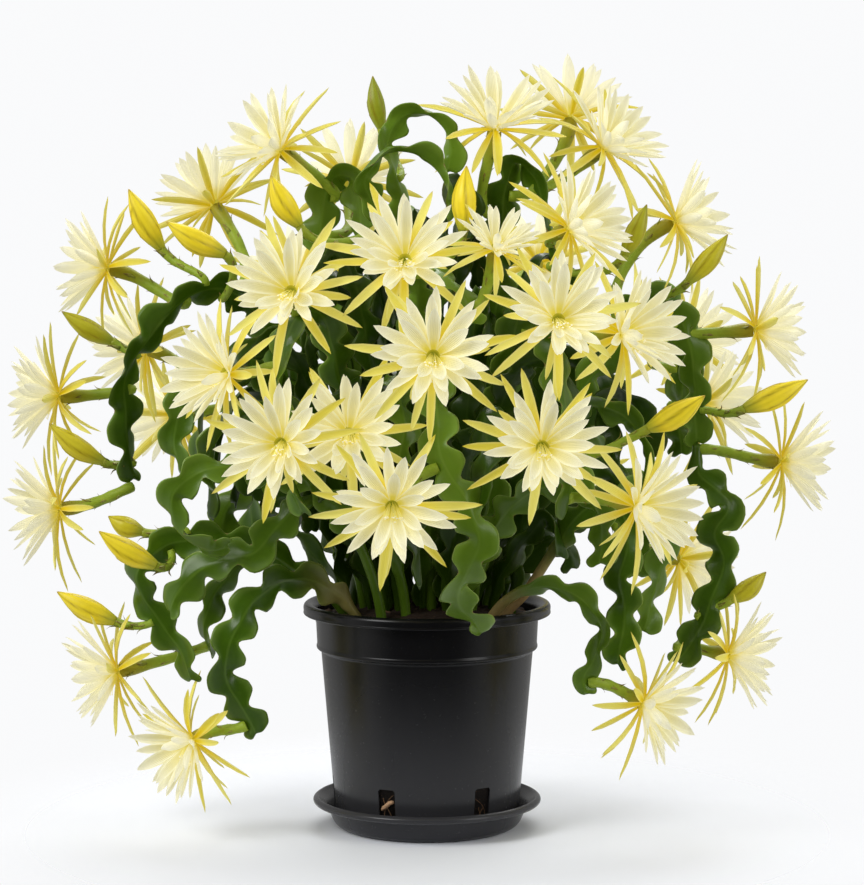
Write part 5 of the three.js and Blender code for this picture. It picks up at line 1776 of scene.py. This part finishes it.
def tubes_and_buds(number, stem, free):
    """A basal stem's flower tubes and bud stalks with their bracts, and its buds. Each takes the
    nearest areole that is still free."""
    tubes, buds, places = [], [], []
    for order, bloom in enumerate(b for b in BLOOMS if b["stem"] == stem["name"]):
        axis = facing(bloom["azimuth"], bloom["elevation"])
        areole = nearest_areole(free, np.array(bloom["hub"]) - axis * TUBE["reach"])
        points, thick = tube_line(areole, bloom)
        reach = np.linspace(0, 1, len(points))
        tubes.append(stalk_mesh(stalks, points, thick, {"reach": reach}, tube_finish))
        places.extend(bract_places(points, thick, number * 20 + order))
    for order, (base, tip) in enumerate(stem["buds"]):
        way = unit(np.array(tip, float) - base)
        areole = nearest_areole(free, np.array(base) - way * BUD["stalk_reach"])
        points, thick = bud_stalk(areole, base, tip)
        reach = np.linspace(0, 0.8, len(points))
        tubes.append(stalk_mesh(stalks, points, thick, {"reach": reach}, tube_finish))
        places.extend(bract_places(points, thick, number * 20 + 10 + order))
        green = GREEN_BUDS.get((stem["name"], order), 0)
        buds.append(bud_mesh(base, tip, green, number * 10 + order, bud_finish))
    if places:
        inputs = {"Shapes": bracts, "Material": bract_finish}
        tubes.append(setting_out.grow(points_mesh(places), inputs))
    return tubes, buds


def inner_blades():
    """The flat stems inside the crown. Each keeps clear of the plant and of those before it."""
    blades = []
    hubs = np.array([
        np.array(b["hub"]) + facing(b["azimuth"], b["elevation"]) * INNER["ahead"] for b in BLOOMS
    ])
    trees = [search_tree(plant_meshes)]
    for number in range(INNER["count"]):
        ribbon = inner_ribbon(number, trees, hubs)
        if ribbon:
            blades.append(flat_stem_mesh(flat_stems, INNER_STEM, ribbon, skin))
            trees.append(search_tree(blades[-1:]))
    return blades


def bloom_mesh(number, bloom, near):
    """A whole bloom, whose tepals keep clear of the near trees."""
    parts = [hub]
    set_out = {**tepal_places(number, bloom, near), "stamen": stamen_places(number)}
    for kind, places in set_out.items():
        inputs = {"Shapes": bloom_shapes[kind], "Material": bloom_finishes[kind]}
        parts.append(setting_out.grow(points_mesh(places), inputs))
    mesh = merged(parts)
    mesh.set_sharp_from_angle(angle=math.radians(TEPAL_EDGE))
    mesh.transform(bloom_matrix(bloom))
    return mesh


plastic = moulded_plastic()
place_piece("saucer_moulding", saucer_mesh(plastic), "black_plastic", "saucer")
place_piece("pot_moulding", pot_mesh(plastic), "black_plastic", "pot")

bark_finish = bark()
place_piece("mix_body", mix_mesh(bark_finish), "potting_mix", "potting_mix")
chips = chip_tree().grow(mix_surface(), {"Chips": chip_shapes(), "Material": bark_finish})
place_piece("bark_chips", merged([chips]), "potting_mix")

stalks = round_stalk_tree()
root_meshes = []
for points, thick in root_lines():
    tone = [1 if thick[0] > 1 else 0.75] * len(thick)
    root_meshes.append(stalk_mesh(stalks, points, thick, {"tone": tone}, bark_finish))
place_piece("roots", merged(root_meshes), "potting_mix")

skin, tube_finish, bract_finish, bud_finish = leafy_skin(), tube_skin(), bract_skin(), bud_skin()
flat_stems = flat_stem_tree()
setting_out = setting_out_tree()
bracts = bract_shapes(bract_finish)
plant_meshes = []

for number, stem in enumerate(STEMS):
    short = stem["name"].removeprefix("stem_")
    blades, areoles = blades_of(stem)
    place_grown("flat_stems_" + short, blades, "stem", stem["name"])
    tubes, buds = tubes_and_buds(number, stem, areoles)
    place_grown("flower_tubes_" + short, tubes, "stem")
    place_grown("buds_" + short, buds, "bloom")
place_grown("flat_stems_inner", inner_blades(), "stem")

bloom_finishes = {"outer": outer_tepal_skin(), "inner": inner_tepal_skin(), "stamen": stamen_skin()}
bloom_shapes = {kind: tepal_shapes(kind, bloom_finishes[kind]) for kind in ("outer", "inner")}
bloom_shapes["stamen"] = stamen_shapes(bloom_finishes["stamen"])
hub = hub_mesh(throat_skin())
plant_tree = search_tree(plant_meshes)
bloom_trees = []

for number, bloom in enumerate(BLOOMS):
    middle = Vector(bloom["hub"]) * MM
    near = [tree for place, tree in bloom_trees if (place - middle).length < NEAR_BLOOMS * MM]
    mesh = bloom_mesh(number, bloom, [plant_tree, *near])
    bloom_trees.append((middle, search_tree([mesh])))
    place_piece(f"flower_{number + 1:02d}", mesh, "bloom", f"bloom_{number + 1:02d}")

# ------------------------------------------------------------ studio


def studio():
    """A plain pale floor, a pale room, and large soft lights over it."""
    floor_mesh = bpy.data.meshes.new("floor")
    corners = [(-1, -1), (1, -1), (1, 1), (-1, 1)]
    floor_mesh.from_pydata([(x * FLOOR_HALF, y * FLOOR_HALF, 0) for x, y in corners], [], [[0, 1, 2, 3]])
    floor_mesh.materials.append(studio_floor())
    floor = bpy.data.objects.new("floor", floor_mesh)
    bpy.context.scene.collection.objects.link(floor)

    world = bpy.data.worlds.new("studio")
    world.use_nodes = True
    tree = Tree(world.node_tree)
    way = tree.parts(tree.add("ShaderNodeTexCoord")["Generated"])
    in_front = tree.ramp(-way["Y"], 0.25, 0.75) * (1 - tree.ramp(way["Z"], 0.3, 0.7))
    beside = tree.ramp(way["X"].maths("ABSOLUTE"), 0.5, 0.9)
    light = ROOM_LIGHT * (1 - FRONT_SHADE * in_front + SIDE_LIGHT * beside)
    room = tree.add("ShaderNodeBackground", None, {"Color": ROOM_COLOUR, "Strength": light})[0]
    sweep = tree.add("ShaderNodeBackground", None, {"Color": SWEEP_COLOUR, "Strength": 1})[0]
    seen = tree.add("ShaderNodeLightPath")["Is Camera Ray"]
    both = tree.add("ShaderNodeMixShader", None, {0: seen, 1: room, 2: sweep})[0]
    tree.add("ShaderNodeOutputWorld", None, {"Surface": both})
    bpy.context.scene.world = world

    for name, place, width, height, watts in LIGHTS:
        lamp = bpy.data.lights.new(name, "AREA")
        lamp.shape = "RECTANGLE"
        lamp.size, lamp.size_y, lamp.energy = width, height, watts
        holder = bpy.data.objects.new(name, lamp)
        holder.location = place
        look = Vector(LIGHTS_LOOK_AT) - Vector(place)
        holder.rotation_euler = look.to_track_quat("-Z", "Y").to_euler()
        bpy.context.scene.collection.objects.link(holder)


def camera():
    """The camera in front of the plant, looking slightly down."""
    lens = bpy.data.cameras.new("camera")
    lens.sensor_width = CAMERA["sensor"]
    lens.lens = CAMERA["lens"]
    holder = bpy.data.objects.new("camera", lens)
    holder.location = CAMERA["place"]
    holder.rotation_euler = (math.radians(90 - CAMERA["down"]), 0, 0)
    bpy.context.scene.collection.objects.link(holder)
    bpy.context.scene.camera = holder


studio()
camera()
bpy.context.scene.view_settings.view_transform = "Standard"
